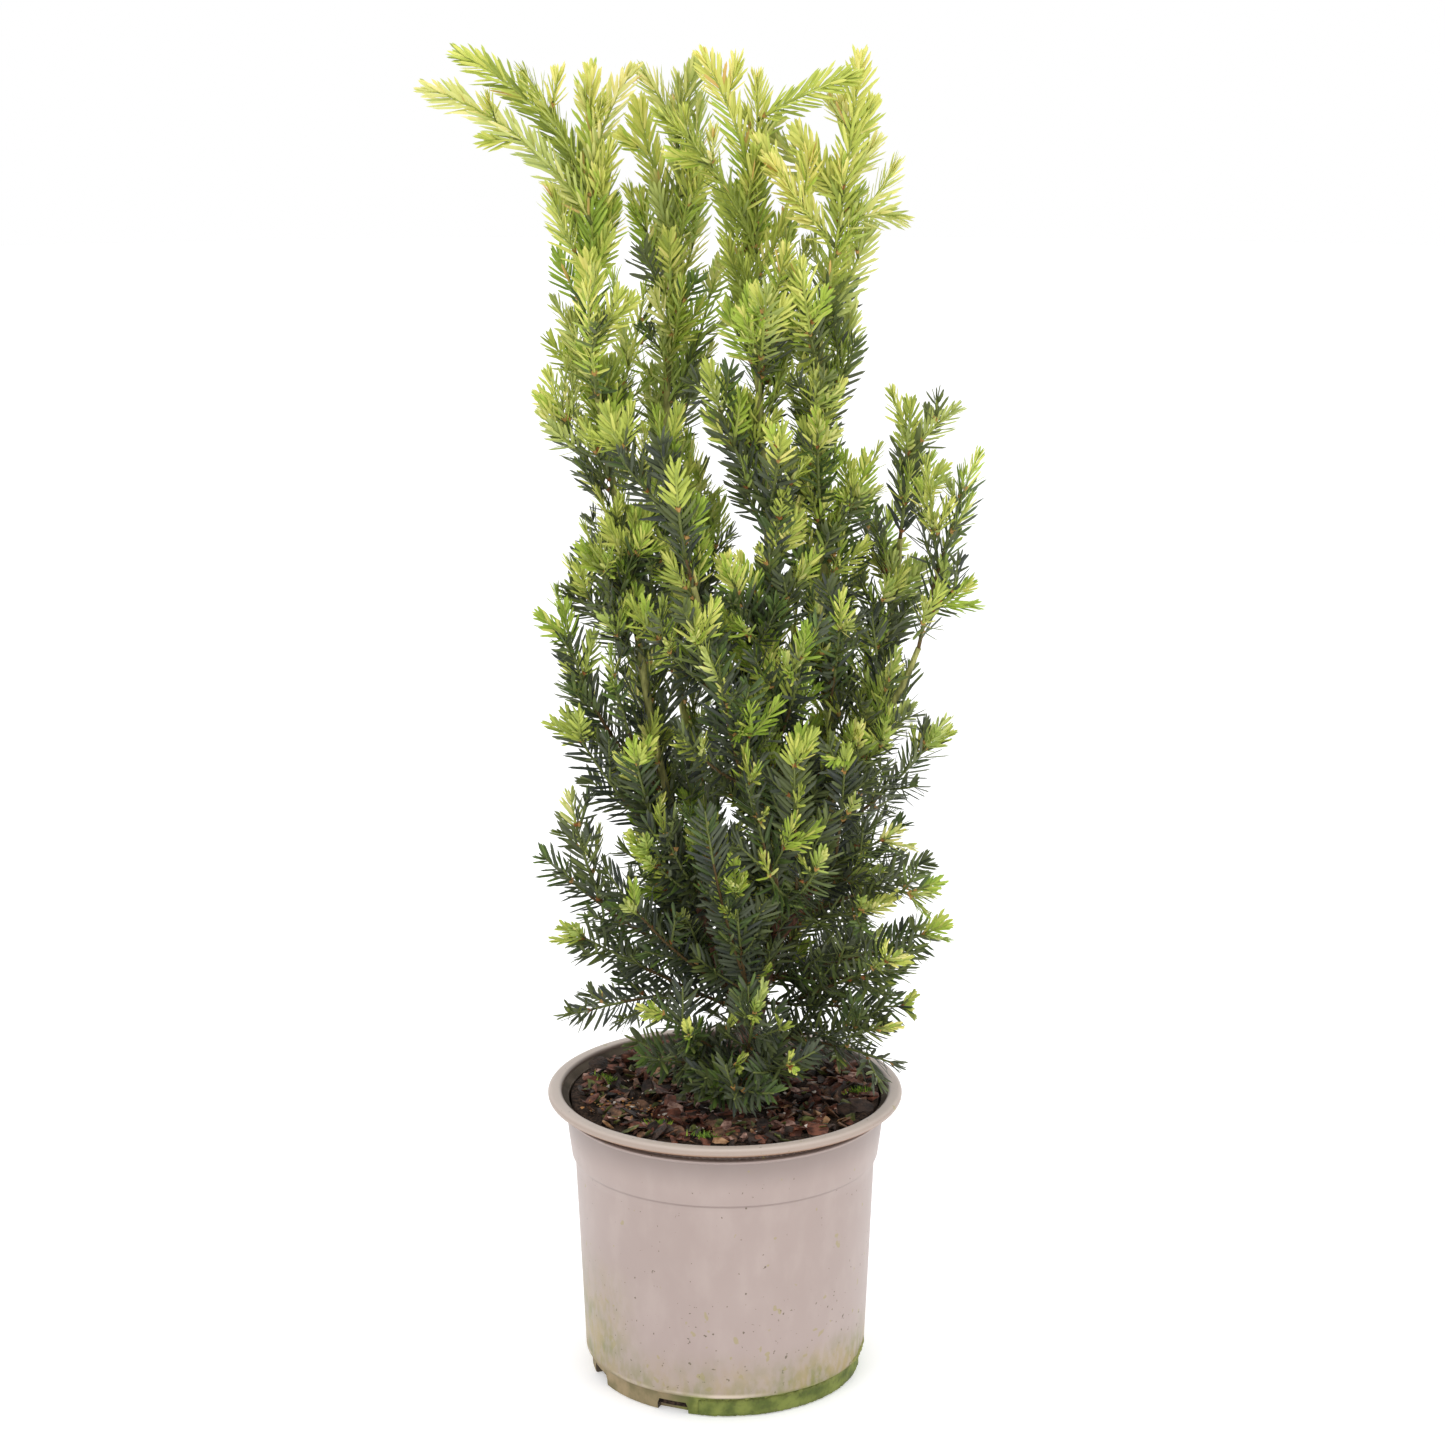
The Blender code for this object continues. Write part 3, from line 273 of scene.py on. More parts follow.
# Each shoot: what it grows from, how many cm along that it leaves, its bearing and its climb in degrees,
# the reach from root to tip in cm, and by how many degrees it bends up (below zero, over) on the way.
# Bearing 0 is to the right, 90 to the back, 180 to the left and 270 to the front.
# A shoot that grows from a limb is the stem of a mass of foliage, which has its name.
# A shoot that grows from another shoot is a branch of the same mass.
TIP = None
SHOOTS = {
    # On the left limb
    "left_crown": ("left_limb", TIP, 15, 89, 19, 6),
    "left_plume_high": ("left_crown", 9.5, 170, 46, 14, -50),
    "left_plume_low": ("left_crown", 8, 190, 39, 15, -45),
    "left_plume_east": ("left_crown", 11.5, 335, 65, 8, -30),
    "left_west_high": ("left_crown", 4.5, 170, 62, 5.5, 20),
    "left_east_high": ("left_crown", 3, 40, 80, 9.5, 15),
    "left_back_high": ("left_crown", 5.5, 105, 50, 8, 15),
    "left_front_mid": ("left_limb", 50, 265, 58, 10.5, 35),
    "left_front_mid_east": ("left_front_mid", 5, 320, 60, 5.5, 20),
    "left_west_mid": ("left_front_mid", 1.5, 150, 68, 6, 25),
    "left_back_mid": ("left_limb", 46, 90, 45, 9, 20),
    "left_east_mid": ("left_back_mid", 3, 45, 70, 10.5, 20),
    "left_west_low": ("left_limb", 43, 185, 63, 10.5, 25),
    "left_west_low_twig": ("left_west_low", 4, 215, 40, 4, 20),
    "left_inner_high": ("left_west_low", 1.5, 70, 50, 4.5, 20),
    "left_shoulder": ("left_limb", 31, 170, 55, 9.5, 25),
    "left_shoulder_front": ("left_shoulder", 1.5, 245, 65, 10, 25),
    "left_shoulder_inner": ("left_shoulder", 1.5, 285, 80, 10.5, 20),
    "left_shoulder_rear": ("left_shoulder", 1.5, 110, 60, 10, 25),
    "left_skirt_low": ("left_limb", 21, 170, 55, 13, 30),
    "left_skirt_high": ("left_skirt_low", 6, 205, 71, 11, 30),
    "left_skirt_inner": ("left_skirt_low", 2, 240, 65, 12, 25),
    "left_skirt_rear": ("left_skirt_low", 2, 95, 55, 9.5, 25),
    "left_skirt_foot": ("left_limb", 16, 185, 53, 14.5, 25),
    "left_foot_front": ("left_skirt_foot", 2, 245, 60, 10.5, 25),
    "left_foot_rear": ("left_skirt_foot", 2, 105, 30, 7.5, 25),
    # On the front limb
    "front_crown": ("front_limb", TIP, 180, 79, 13, 10),
    "front_west_high": ("front_crown", 4.5, 185, 60, 10, 30),
    "front_east_high": ("front_crown", 2, 255, 70, 8, 20),
    "front_west_low": ("front_limb", 15, 210, 45, 12, 30),
    "front_east_low": ("front_west_low", 2.5, 250, 65, 7.5, 30),
    "front_low": ("front_limb", 8, 225, 37, 10.5, 35),
    "front_low_east": ("front_low", 1.5, 240, 70, 12, 25),
    "front_low_inner": ("front_low", 1.5, 275, 65, 8, 25),
    # On the back limb
    "back_crown": ("back_limb", TIP, 305, 86, 17.5, 8),
    "back_crown_west": ("back_crown", 12.5, 210, 60, 6.5, -35),
    "back_crown_east": ("back_crown", 13, 340, 75, 6, -20),
    "back_west_high": ("back_crown", 7, 165, 73, 9.5, 15),
    "back_east_high": ("back_crown", 6.5, 5, 80, 10, 20),
    "back_west_low": ("back_crown", 1, 200, 76, 9, 20),
    "back_east_low": ("back_crown", 1.5, 30, 70, 6.5, 20),
    "back_rear_high": ("back_crown", 2.5, 100, 45, 6.5, 25),
    "back_front_mid": ("back_limb", 49, 290, 65, 8, 20),
    "back_east_mid": ("back_limb", 46, 10, 72, 11, 25),
    "back_rear_mid": ("back_limb", 42, 75, 50, 10, 30),
    "back_rear_low": ("back_rear_mid", 2, 115, 35, 4.5, 30),
    "back_rear_foot": ("back_limb", 26, 75, 40, 9, 35),
    "back_low": ("back_limb", 15, 75, 40, 7, 35),
    "back_low_west": ("back_low", 2, 140, 50, 4.5, 25),
    "back_low_east": ("back_low", 2, 30, 45, 6.5, 25),
    "back_inner": ("back_rear_foot", 1.5, 330, 76, 13.5, 20),
    "back_foot_west": ("back_rear_foot", 1.5, 110, 60, 6.5, 25),
    # On the middle limb
    "middle_crown": ("middle_limb", TIP, 90, 88, 20, 5),
    "middle_plume_front": ("middle_crown", 7.5, 225, 46, 14, -35),
    "middle_plume_west": ("middle_crown", 9, 200, 71, 13, -30),
    "middle_plume_east": ("middle_crown", 16.5, 341, 24, 8, -15),
    "middle_east_high": ("middle_crown", 1.5, 345, 75, 8, 25),
    "middle_west_high": ("middle_crown", 0.5, 140, 79, 12, 10),
    "middle_front_high": ("middle_limb", 44, 275, 50, 9.5, 35),
    "middle_front_high_west": ("middle_front_high", 3.5, 225, 55, 4, 20),
    "middle_back_high": ("middle_limb", 42, 80, 50, 9, 25),
    "middle_west_low": ("middle_limb", 35, 200, 68, 11.5, 25),
    "middle_west_low_twig": ("middle_west_low", 5, 285, 65, 5, 15),
    "middle_east_low": ("middle_limb", 34, 280, 55, 9.5, 30),
    "middle_front_low": ("middle_limb", 24, 230, 59, 10, 25),
    "middle_west_foot": ("middle_front_low", 1.5, 250, 30, 6, 25),
    "middle_low_east": ("middle_front_low", 1.5, 235, 80, 6, 20),
    "middle_front_foot": ("middle_limb", 18, 285, 55, 12.5, 35),
    "middle_foot_west": ("middle_front_foot", 2, 245, 65, 6.5, 25),
    # On the trunk, which runs on as the right leader
    "right_crown": (TRUNK, TIP, 340, 82, 20, 5),
    "right_west_high": ("right_crown", 10, 170, 40, 7, 20),
    "right_west_plume": ("right_crown", 6.5, 210, 50, 8.5, 10),
    "right_east_high": ("right_crown", 11, 15, 52, 4, 15),
    "right_east_plume": ("right_crown", 7.5, 330, 10, 5.5, -70),
    "right_east_plume_top": ("right_east_plume", 2, 20, 55, 5, 20),
    "right_east_mid": ("right_crown", 1, 10, 65, 8, 20),
    "right_front_high": (TRUNK, 55, 255, 57, 10.5, 30),
    "right_back_mid": (TRUNK, 51, 90, 50, 8, 30),
    "right_back_high": ("right_back_mid", 3, 65, 73, 10, 25),
    "right_front_mid": (TRUNK, 50, 265, 50, 8.5, 30),
    "right_east_low": ("right_front_mid", 1, 25, 75, 9.5, 25),
    "right_front_low": (TRUNK, 45, 265, 58, 10, 30),
    "right_west_foot": ("right_front_low", 1, 230, 45, 3, 25),
    "right_east_foot": (TRUNK, 41, 340, 70, 9.5, 25),
    "right_back_low": (TRUNK, 36, 90, 40, 9.5, 30),
    "right_rear_east": ("right_back_low", 2, 50, 35, 5.5, 25),
    "right_rear_west": ("right_back_low", 2, 110, 15, 5, 25),
    "right_front_foot": (TRUNK, 31, 275, 56, 12, 30),
    "right_foot_west": ("right_front_foot", 2, 245, 70, 8.5, 20),
    # On the outer limb
    "outer_crown": ("outer_limb", TIP, 305, 85, 10.5, 10),
    "outer_plume": ("outer_crown", 6, 345, 45, 5.5, -20),
    "outer_west_high": ("outer_crown", 2.5, 195, 82, 3.5, 20),
    "outer_east_high": ("outer_crown", 1.5, 35, 60, 5.5, 20),
    "outer_west_low": ("outer_limb", 17.5, 165, 65, 7, 20),
    "outer_back": ("outer_west_low", 1.5, 85, 40, 6, 30),
    "outer_front_low": ("outer_limb", 13, 280, 70, 8.5, 30),
    "outer_low_west": ("outer_front_low", 1.5, 240, 55, 5, 20),
    # On the far limb
    "far_crown": ("far_limb", TIP, 350, 74, 15, -10),
    "far_west": ("far_crown", 6, 225, 80, 6.5, 10),
    "far_east": ("far_crown", 2.5, 345, 40, 4.5, 15),
    "far_front": ("far_crown", 1, 270, 45, 5, 25),
    # Low on the right
    "skirt_east_high": (TRUNK, 21, 350, 47, 13, 25),
    "skirt_east_front": ("skirt_east_high", 2.5, 270, 55, 11, 30),
    "skirt_east_mid": (TRUNK, 18, 320, 32, 9.5, 5),
    "skirt_front_inner": ("skirt_east_mid", 2, 275, 60, 12.5, 25),
    "skirt_east_low": (TRUNK, 14, 5, 23, 11.5, 10),
    "skirt_rear": ("skirt_east_low", 2, 40, 55, 12, 25),
    # Low boughs that spread over the pot
    "bough_east_high": (TRUNK, 9, 350, 20, 15, 15),
    "bough_east_low": (TRUNK, 7, 350, 2, 12, 5),
    "bough_east_mid": ("bough_east_low", 2, 320, 30, 13, 5),
    "bough_east_foot": (TRUNK, 4, 330, 14, 12.5, -5),
    "bough_southeast_foot": ("bough_east_foot", 1.5, 320, 3, 12.5, -20),
    "bough_west_high": ("left_limb", 6, 190, 37, 17, 20),
    "bough_west_high_twig": ("bough_west_high", 10.5, 195, 75, 9.5, 15),
    "bough_west_front": (TRUNK, 7, 215, 44, 19, 30),
    "bough_west_mid": ("left_limb", 3, 195, 30, 15.5, 5),
    "bough_west_low": ("bough_west_mid", 3.5, 185, -10, 9.5, -10),
    "bough_south_high": (TRUNK, 10, 225, 54, 17, 35),
    "bough_south_mid": (TRUNK, 6, 260, 59, 18, 45),
    "bough_south_inner": ("bough_south_mid", 6, 245, 65, 16.5, 20),
    "bough_south_foot": (TRUNK, 2, 270, 4, 10, -5),
    "bough_south_low": ("bough_south_foot", 1.5, 275, 42, 13.5, 10),
    "bough_southwest_low": ("bough_south_foot", 1.5, 230, 37, 13.5, 0),
    "bough_southwest_foot": ("bough_south_foot", 1.5, 250, 15, 9, 0),
    "bough_front_east": ("middle_limb", 5.5, 290, 36, 11, 50),
    "middle_low": ("middle_limb", 12, 290, 55, 7, 35),
    "middle_low_east_twig": ("middle_low", 1.5, 15, 50, 6.5, 25),
    "bough_front_inner": ("bough_front_east", 2.5, 250, 40, 8.5, 40),
    "bough_front_west": ("bough_front_inner", 3, 235, 70, 12.5, 20),
    "bough_front_high": ("bough_front_east", 4, 265, 70, 14, 20),
    "bough_north": (TRUNK, 9, 75, 27, 11, 35),
    "bough_north_up": ("bough_north", 4, 100, 65, 9, 25),
    "bough_northwest": ("bough_north", 1.5, 140, 7, 10, 20),
    "bough_northwest_up": ("bough_northwest", 4, 150, 50, 9, 25),
    "bough_north_low": (TRUNK, 4, 95, 8, 11.5, 10),
    "bough_northeast": ("bough_north", 1, 35, 5, 11.5, 20),
    "bough_northeast_up": ("bough_northeast", 4, 35, 50, 9, 25),
    # Finer shoots that only the looks have
    "left_plume_inner": ("left_crown", 9.5, 186, 62, 10.5, -15),
    "bough_south_high_front": ("bough_south_high", 9, 237, 53, 10.5, 25),
    "bough_south_high_west": ("bough_south_high", 9, 218, 42, 9, 25),
    "back_inner_top": ("back_inner", 9, 165, 78, 9, 10),
    "back_inner_plume": ("back_crown", 4, 300, 70, 10, 10),
    "right_west_top": ("right_crown", 9.5, 186, 58, 6.5, 10),
    "skirt_mid_front": ("skirt_east_mid", 0.5, 331, -3, 9.5, 15),
    "skirt_low_front": ("skirt_east_low", 0.5, 317, 18, 10, 15),
    "bough_east_high_front": ("bough_east_high", 0.5, 331, 12, 12, 15),
    "bough_southwest_wide": ("bough_south_foot", 1, 218, 18, 10.5, 5),
    "bough_south_wide": ("bough_south_foot", 1.5, 290, 22, 11, 15),
    "bough_south_near": ("bough_south_foot", 4, 265, 10, 9, -8),
}

# Twigs by the source's rule, and finer ones between them by the same rule
TWIG_SEED = 38
TWIG_EVERY_CM = 10.0
TWIG_LEAST_REACH_CM = 9.0
TWIG_FIRST = 0.35
TWIG_LAST = 0.80
TWIG_JITTER = (0.2, 0.8)
TWIG_REACH_CM = (2.5, 3.8)
TWIG_ANGLE = 48
TWIG_TURN = 137.5
TWIG_LIFT = 8
TWIG_BEND = 15
FINE_EVERY_CM = 2.5
LOW_FINE_EVERY_CM = 1.8
LOW_FINE_TO = 0.30
FINE_REACH_CM = (3.0, 5.2)
FINE_FIRST = 0.08
FINE_LAST = 0.82
FINE_TAPER = (1.35, 0.60)
FINE_LEAST_REACH_CM = 4.0
FINE_FLAT = 0.6
LIMB_TWIG_EVERY_CM = 1.2
LIMB_TWIG_FIRST = 0.06
LOW_TWIG_REACH_CM = (5.0, 8.5)
HIGH_TWIG_REACH_CM = (3.6, 6.2)
LOW_TWIGS_TO = 0.34
HIGH_TWIGS_FROM = 0.55
LIMB_TWIGS_TO = 0.80
LIMB_TWIGS_END = {"outer_limb": 0.55, "far_limb": 0.50}
FINE_TWIGS_TO = 0.93
PLUMES_FROM = 0.83
RISE_HEIGHTS = (0.28, 0.48)
RISE = (0.12, 0.42)
STRAY_HEIGHTS = (0.40, 0.50)
STRAY = (0.034, 0.022)
STRAY_SHORTENING = 0.8
LEAST_CLIMB_HEIGHTS = (0.215, 0.26)
LEAST_CLIMB = (10, -35)
LEAST_TWIG = 0.022

# New shoots that fork off where a new growth begins
FORK_MOST = 2
FORK_ANGLE = 42
FORK_TURN = (120, 220)
FORK_SHARE = (0.55, 0.95)
FORK_REACH_TO = 0.07
FORK_SHARE_TO = 0.8
FORK_BARE_ROOT = 2.0 * MM

# How far shoots and needles keep from the soil and the pot
ROOT_POINTS = 4
SHOOT_ABOVE_SOIL = 5.0 * MM
SHOOT_ABOVE_RIM = 4.0 * MM
SHOOT_FROM_COLLAR = 6.0 * MM
NEEDLE_ABOVE_SOIL = 4.0 * MM
NEEDLE_ABOVE_RIM = 1.5 * MM
NEEDLE_FROM_WALL = 2.0 * MM

# Stems of shoots, and the scales on them
STEM_ROOT_MM = 1.5
STEM_TIP_MM = 0.7
TWIG_ROOT_MM = 1.0
STEM_SIDES = 5
STEM_STEP = 0.007
STEM_END = 0.010
STEM_SHORT = 0.006
GREEN_STEM_REACH = 0.05
GREEN_STEMS_FROM = 0.62
SCALE_REACH_MM = (2.2, 3.6)
SCALE_RADIUS_MM = (1.0, 1.5)
SCALE_FOOT = 0.8
SCALE_TURN = (0, 6)
SCALE_FLARE = (1.2, 1.9, 1.3, 2.0, 1.4, 1.8)
SCALES_FROM_ROOT = 0.012
AXIL_BUD_CHANCE = 0.4

# Needles: shares of the length with the share of the width there, then angles and sizes
NEEDLE_OUTLINE = ((0.0, 0.45), (0.30, 1.0), (0.84, 0.78))
NEEDLE_RIDGE = 0.26
NEEDLE_ROLL = 0.12
NEEDLE_SEAT = 0.8
OLD_WIDTH_MM = 2.5
NEW_WIDTH_MM = 2.1
PLUME_WIDTH_MM = 2.3
OLD_LENGTH_MM = 20.0
OLD_SPACING_MM = 1.68
NEW_SPACING_MM = 1.20
PLUME_SPACING_MM = 1.08
PLUME_TIP_SPACING = 0.82
SPACING_JITTER = (0.8, 1.2)
LENGTH_JITTER = (0.86, 1.10)
WIDTH_JITTER = (0.90, 1.08)
OLD_LEAN = 66
OLD_RISE_LEAN = 25
NEW_LEAN = 45
PLUME_CLOSING = 9
PLUME_HEIGHTS = (0.80, 0.88)
LEAN_JITTER = 4
TURN_JITTER = 9
OLD_TIP_LEAN = 38
NEW_TIP_LEAN = 19
TIP_STRETCH = 0.020
TIP_SHORTENING = 0.42
TIP_UPRIGHT = 0.4
ROOT_STRETCH = 0.020
ROOT_LENGTH = 0.75
UPPER_FORWARD = 0.45
BEND_FORWARD = (0.02, 0.24)
BEND_DOWN = (-0.03, 0.10)
TUFT_NEEDLES = 6
FLATNESS_HEIGHTS = (0.35, 0.60, 0.88)
FLATNESS = (0.82, 0.62, 0.42)
STEEP = 0.80
FACE_SPREAD = 45
LEVEL_TILT = (0.35, 1.30)
PLUME_TILT = 1.3
LIGHT_PULL = 0.035
NEEDLE_TWIST = 0.24
BARE_ROOT = 0.004
LEADER_NEEDLES_FROM = 0.66
LEADER_SPARSE = 0.55
LEADER_NEW_REACH = 0.10
SHARP_NEEDLE = math.radians(55)
ABOVE_ROUGHNESS = 0.45
BELOW_ROUGHNESS = 0.60
NEEDLE_GLOSS = {"old_foliage": 0.38, "young_foliage": 0.20}
NEEDLE_SEED = 77

# How the new growth changes with height: its reach at a tip, its needles, and how many shoots have it
HEIGHTS = (0.24, 0.35, 0.50, 0.62, 0.74, 0.84, 0.97)
NEW_REACH_JITTER = (0.75, 1.25)
NEW_REACH = (0.011, 0.029, 0.034, 0.035, 0.042, 0.090, 0.200)
NEW_LENGTH_MM = (9.0, 14.0, 16.5, 16.5, 17.0, 19.0, 20.0)
SHOOT_NEW_CHANCE = (0.35, 0.60, 0.80, 0.90, 1.00, 1.00, 1.00)
TWIG_NEW_CHANCE = (0.06, 0.22, 0.40, 0.55, 0.75, 0.95, 1.00)
OLD_SHADE = (1.2, 1.0, 0.9, 1.0, 1.3, 2.1, 4.2)
NEW_SHADE = (6.0, 6.1, 6.1, 6.0, 6.0, 6.4, 7.2)
FRESH_CHANCE = (0.35, 0.40, 0.50, 0.50, 0.45, 0.35, 0.15)
OLD_TIP_SHADE = 1.0
OLD_FADE = 0.045
NEW_FADE = (0.03, 0.09)
NEW_FADE_SHADE = 0.8
SHADE_JITTER = 0.56
TINT_JITTER = 0.45
AMBER_HEIGHT = 0.80
AMBER_CHANCE = 0.012

# Shades of needles, dark and old to pale and new: name, colour above, colour below, record slot
SHADES = (
    ("deep", (0.045, 0.056, 0.042), (0.100, 0.114, 0.080), "old_foliage"),
    ("dark", (0.079, 0.096, 0.054), (0.142, 0.160, 0.096), "old_foliage"),
    ("moss", (0.098, 0.122, 0.040), (0.165, 0.196, 0.075), "old_foliage"),
    ("leaf", (0.150, 0.188, 0.044), (0.212, 0.256, 0.080), "old_foliage"),
    ("grass", (0.224, 0.280, 0.052), (0.285, 0.340, 0.090), "young_foliage"),
    ("lime", (0.340, 0.415, 0.080), (0.385, 0.450, 0.140), "young_foliage"),
    ("bright", (0.490, 0.560, 0.105), (0.520, 0.580, 0.175), "young_foliage"),
    ("pale", (0.670, 0.690, 0.165), (0.690, 0.700, 0.240), "young_foliage"),
    ("straw", (0.850, 0.790, 0.250), (0.850, 0.790, 0.320), "young_foliage"),
    ("amber", (0.680, 0.460, 0.140), (0.700, 0.500, 0.180), "young_foliage"),
    ("fresh_moss", (0.078, 0.122, 0.032), (0.148, 0.190, 0.070), "old_foliage"),
    ("fresh_leaf", (0.118, 0.185, 0.036), (0.185, 0.245, 0.070), "old_foliage"),
    ("fresh_grass", (0.182, 0.280, 0.040), (0.245, 0.330, 0.080), "young_foliage"),
    ("fresh_lime", (0.282, 0.405, 0.055), (0.335, 0.435, 0.100), "young_foliage"),
    ("fresh_bright", (0.420, 0.548, 0.080), (0.465, 0.568, 0.140), "young_foliage"),
)
SHADE_NAMES = [name for name, *_ in SHADES]
MOSS = SHADE_NAMES.index("moss")
BRIGHT = SHADE_NAMES.index("bright")
AMBER = SHADE_NAMES.index("amber")
FRESH_MOSS = SHADE_NAMES.index("fresh_moss")


class Line:
    """A smooth line in space, as points at even steps, measured from its root."""

    def __init__(self, points):
        self.points = np.asarray(points, dtype=float)
        steps = np.linalg.norm(np.diff(self.points, axis=0), axis=1)
        self.marks = np.concatenate([[0.0], np.cumsum(steps)])
        self.length = float(self.marks[-1])

    def at(self, distances):
        """The places at distances from the root."""
        axes = [np.interp(distances, self.marks, self.points[:, axis]) for axis in range(3)]
        return np.stack(axes, axis=-1)

    def heading(self, distances):
        """The directions of growth at distances from the root."""
        reach = min(2.0 * MM, self.length / 4)
        behind = self.at(np.maximum(np.asarray(distances) - reach, 0.0))
        ahead = self.at(np.minimum(np.asarray(distances) + reach, self.length))
        return unit(ahead - behind)


def unit(vectors):
    """Vectors brought to a length of one."""
    sizes = np.linalg.norm(vectors, axis=-1, keepdims=True)
    return vectors / np.maximum(sizes, 1e-9)


def curve_through(places_cm):
    """A line that passes smoothly through the given places."""
    places = np.array(places_cm) * CM
    before = 2 * places[0] - places[1]
    after = 2 * places[-1] - places[-2]
    knots = np.vstack([before, places, after])
    points = []
    for a, b, c, d in zip(knots, knots[1:], knots[2:], knots[3:]):
        for t in np.arange(0.0, 1.0, CURVE_STEP):
            points.append(0.5 * (2 * b + (c - a) * t + (2 * a - 5 * b + 4 * c - d) * t**2
                                 + (3 * b - a - 3 * c + d) * t**3))
    points.append(places[-1])
    return Line(points)


def growth_line(root, bearing, climb, reach, bend):
    """An upright arc from its root to a tip at the given bearing, climb and reach."""
    half = math.radians(bend) / 2
    length = reach * half / math.sin(half) if half else reach
    climbs = math.radians(climb) + np.linspace(-half, half, LINE_POINTS)
    middles = (climbs[1:] + climbs[:-1]) / 2
    steps = np.column_stack([
        np.cos(middles) * math.cos(math.radians(bearing)),
        np.cos(middles) * math.sin(math.radians(bearing)),
        np.sin(middles),
    ]) * length / (LINE_POINTS - 1)
    return Line(np.vstack([root, root + np.cumsum(steps, axis=0)]))


def cross_directions(line, distances):
    """Two directions across the line at each distance, carried along it with no twist."""
    headings = line.heading(distances)
    side = np.cross(headings[0], (0.0, 1.0, 0.0) if abs(headings[0][1]) < 0.8 else (1.0, 0.0, 0.0))
    sides = []
    for heading in headings:
        side = side - heading * np.dot(side, heading)
        side = side / np.linalg.norm(side)
        sides.append(side)
    sides = np.array(sides)
    return sides, np.cross(headings, sides)


class Shoot:
    """One shoot: its line, the radii of its stem, where its needles start, and its new growth."""

    def __init__(self, line, chance, root_mm=TWIG_ROOT_MM, tip_mm=STEM_TIP_MM, bare=BARE_ROOT,
                 new_chance=TWIG_NEW_CHANCE):
        self.line = line
        self.root_mm = root_mm
        self.tip_mm = tip_mm
        self.bare = bare
        height = line.points[-1][2]
        has_new = chance.random() < np.interp(height, HEIGHTS, new_chance)
        share = chance.uniform(*NEW_REACH_JITTER)
        self.new_reach = float(np.interp(height, HEIGHTS, NEW_REACH)) * share if has_new else 0.0
        self.tint = chance.gauss(0.0, TINT_JITTER)

    def radii(self, distances):
        """The stem's radii at distances from its root."""
        return (self.root_mm + (self.tip_mm - self.root_mm) * distances / self.line.length) * MM


def side_growth(line, distance, turn, angle, flat=0.0):
    """The bearing and climb of growth that leaves a line at an angle, on the side that turn gives.

    flat brings it towards one level layer, from 0 to 1.
    """
    heading = line.heading(distance)
    side, other = [cross[0] for cross in cross_directions(line, np.array([distance]))]
    across = side * math.cos(math.radians(turn)) + other * math.sin(math.radians(turn))
    up = UP - heading * heading[2]
    across = unit(across - up * (across @ up) * flat)
    way = heading * math.cos(math.radians(angle)) + across * math.sin(math.radians(angle))
    return math.degrees(math.atan2(way[1], way[0])), math.degrees(math.asin(way[2])) + TWIG_LIFT


def shoot_lines(limb_lines):
    """The line of each shoot in the table, from the axis of what it grows from."""
    lines = dict(limb_lines)
    for name, (parent, along, bearing, climb, reach, bend) in SHOOTS.items():
        start = lines[parent].length if along is TIP else along * CM
        lines[name] = growth_line(lines[parent].at(start), bearing, climb, reach * CM, bend)
    return lines


def masses():
    """For each mass, its stem and branches from the table, parents first."""
    groups = {}
    stem_of = {}
    for name, (parent, *_) in SHOOTS.items():
        stem_of[name] = name if parent in LIMBS else stem_of[parent]
        groups.setdefault(stem_of[name], []).append(name)
    return groups


def twigs_along(line, count, first, last, reach_cm, chance, taper=(1.0, 1.0), rise=(0.0, 0.0), flat=0.0):
    """Twigs that leave a line at an angle, each turned on from the one before.

    taper scales their reach from the line's root to its tip. rise turns them towards upright, by a
    share for low and for high twigs.
    """
    twigs = []
    turn = chance.uniform(0, 360)
    for number in range(count):
        share = first + (last - first) * (number + chance.uniform(*TWIG_JITTER)) / count
        distance = share * line.length
        place = line.at(distance)
        turn += TWIG_TURN
        bearing, climb = side_growth(line, distance, turn, TWIG_ANGLE, flat)
        climb += (90 - climb) * float(np.interp(place[2], RISE_HEIGHTS, rise))
        climb = max(climb, float(np.interp(place[2], LEAST_CLIMB_HEIGHTS, LEAST_CLIMB)))
        reach = chance.uniform(*reach_cm) * CM * (taper[0] + (taper[1] - taper[0]) * share)
        twigs.append(growth_line(place, bearing, climb, reach, TWIG_BEND))
    return twigs


def fine_twigs(line, chance):
    """Fine twigs along a shoot, the longest of them near its root."""
    reach = line.length / CM
    height = line.points[0][2]
    if reach < FINE_LEAST_REACH_CM or height > PLUMES_FROM:
        return []
    every = LOW_FINE_EVERY_CM if height < LOW_FINE_TO else FINE_EVERY_CM
    count = max(1, round(reach * (FINE_LAST - FINE_FIRST) / every))
    twigs = twigs_along(line, count, FINE_FIRST, FINE_LAST, FINE_REACH_CM, chance,
                        FINE_TAPER, RISE, FINE_FLAT)
    return [twig for twig in twigs if twig.points[0][2] < FINE_TWIGS_TO]


def forks(shoot, chance):
    """New shoots that leave a shoot where its new growth begins."""
    line = shoot.line
    if not 0 < shoot.new_reach < min(FORK_REACH_TO, line.length * FORK_SHARE_TO):
        return []
    start = line.length - shoot.new_reach
    turn = chance.uniform(0, 360)
    new_shoots = []
    for _ in range(chance.randint(0, FORK_MOST)):
        turn += chance.uniform(*FORK_TURN)
        bearing, climb = side_growth(line, start, turn, FORK_ANGLE)
        reach = shoot.new_reach * chance.uniform(*FORK_SHARE) + STEM_END
        fork_line = growth_line(line.at(start), bearing, climb, reach, TWIG_BEND)
        fork = Shoot(fork_line, chance, bare=FORK_BARE_ROOT)
        fork.new_reach = fork_line.length
        fork.tint = shoot.tint
        new_shoots.append(fork)
    return new_shoots


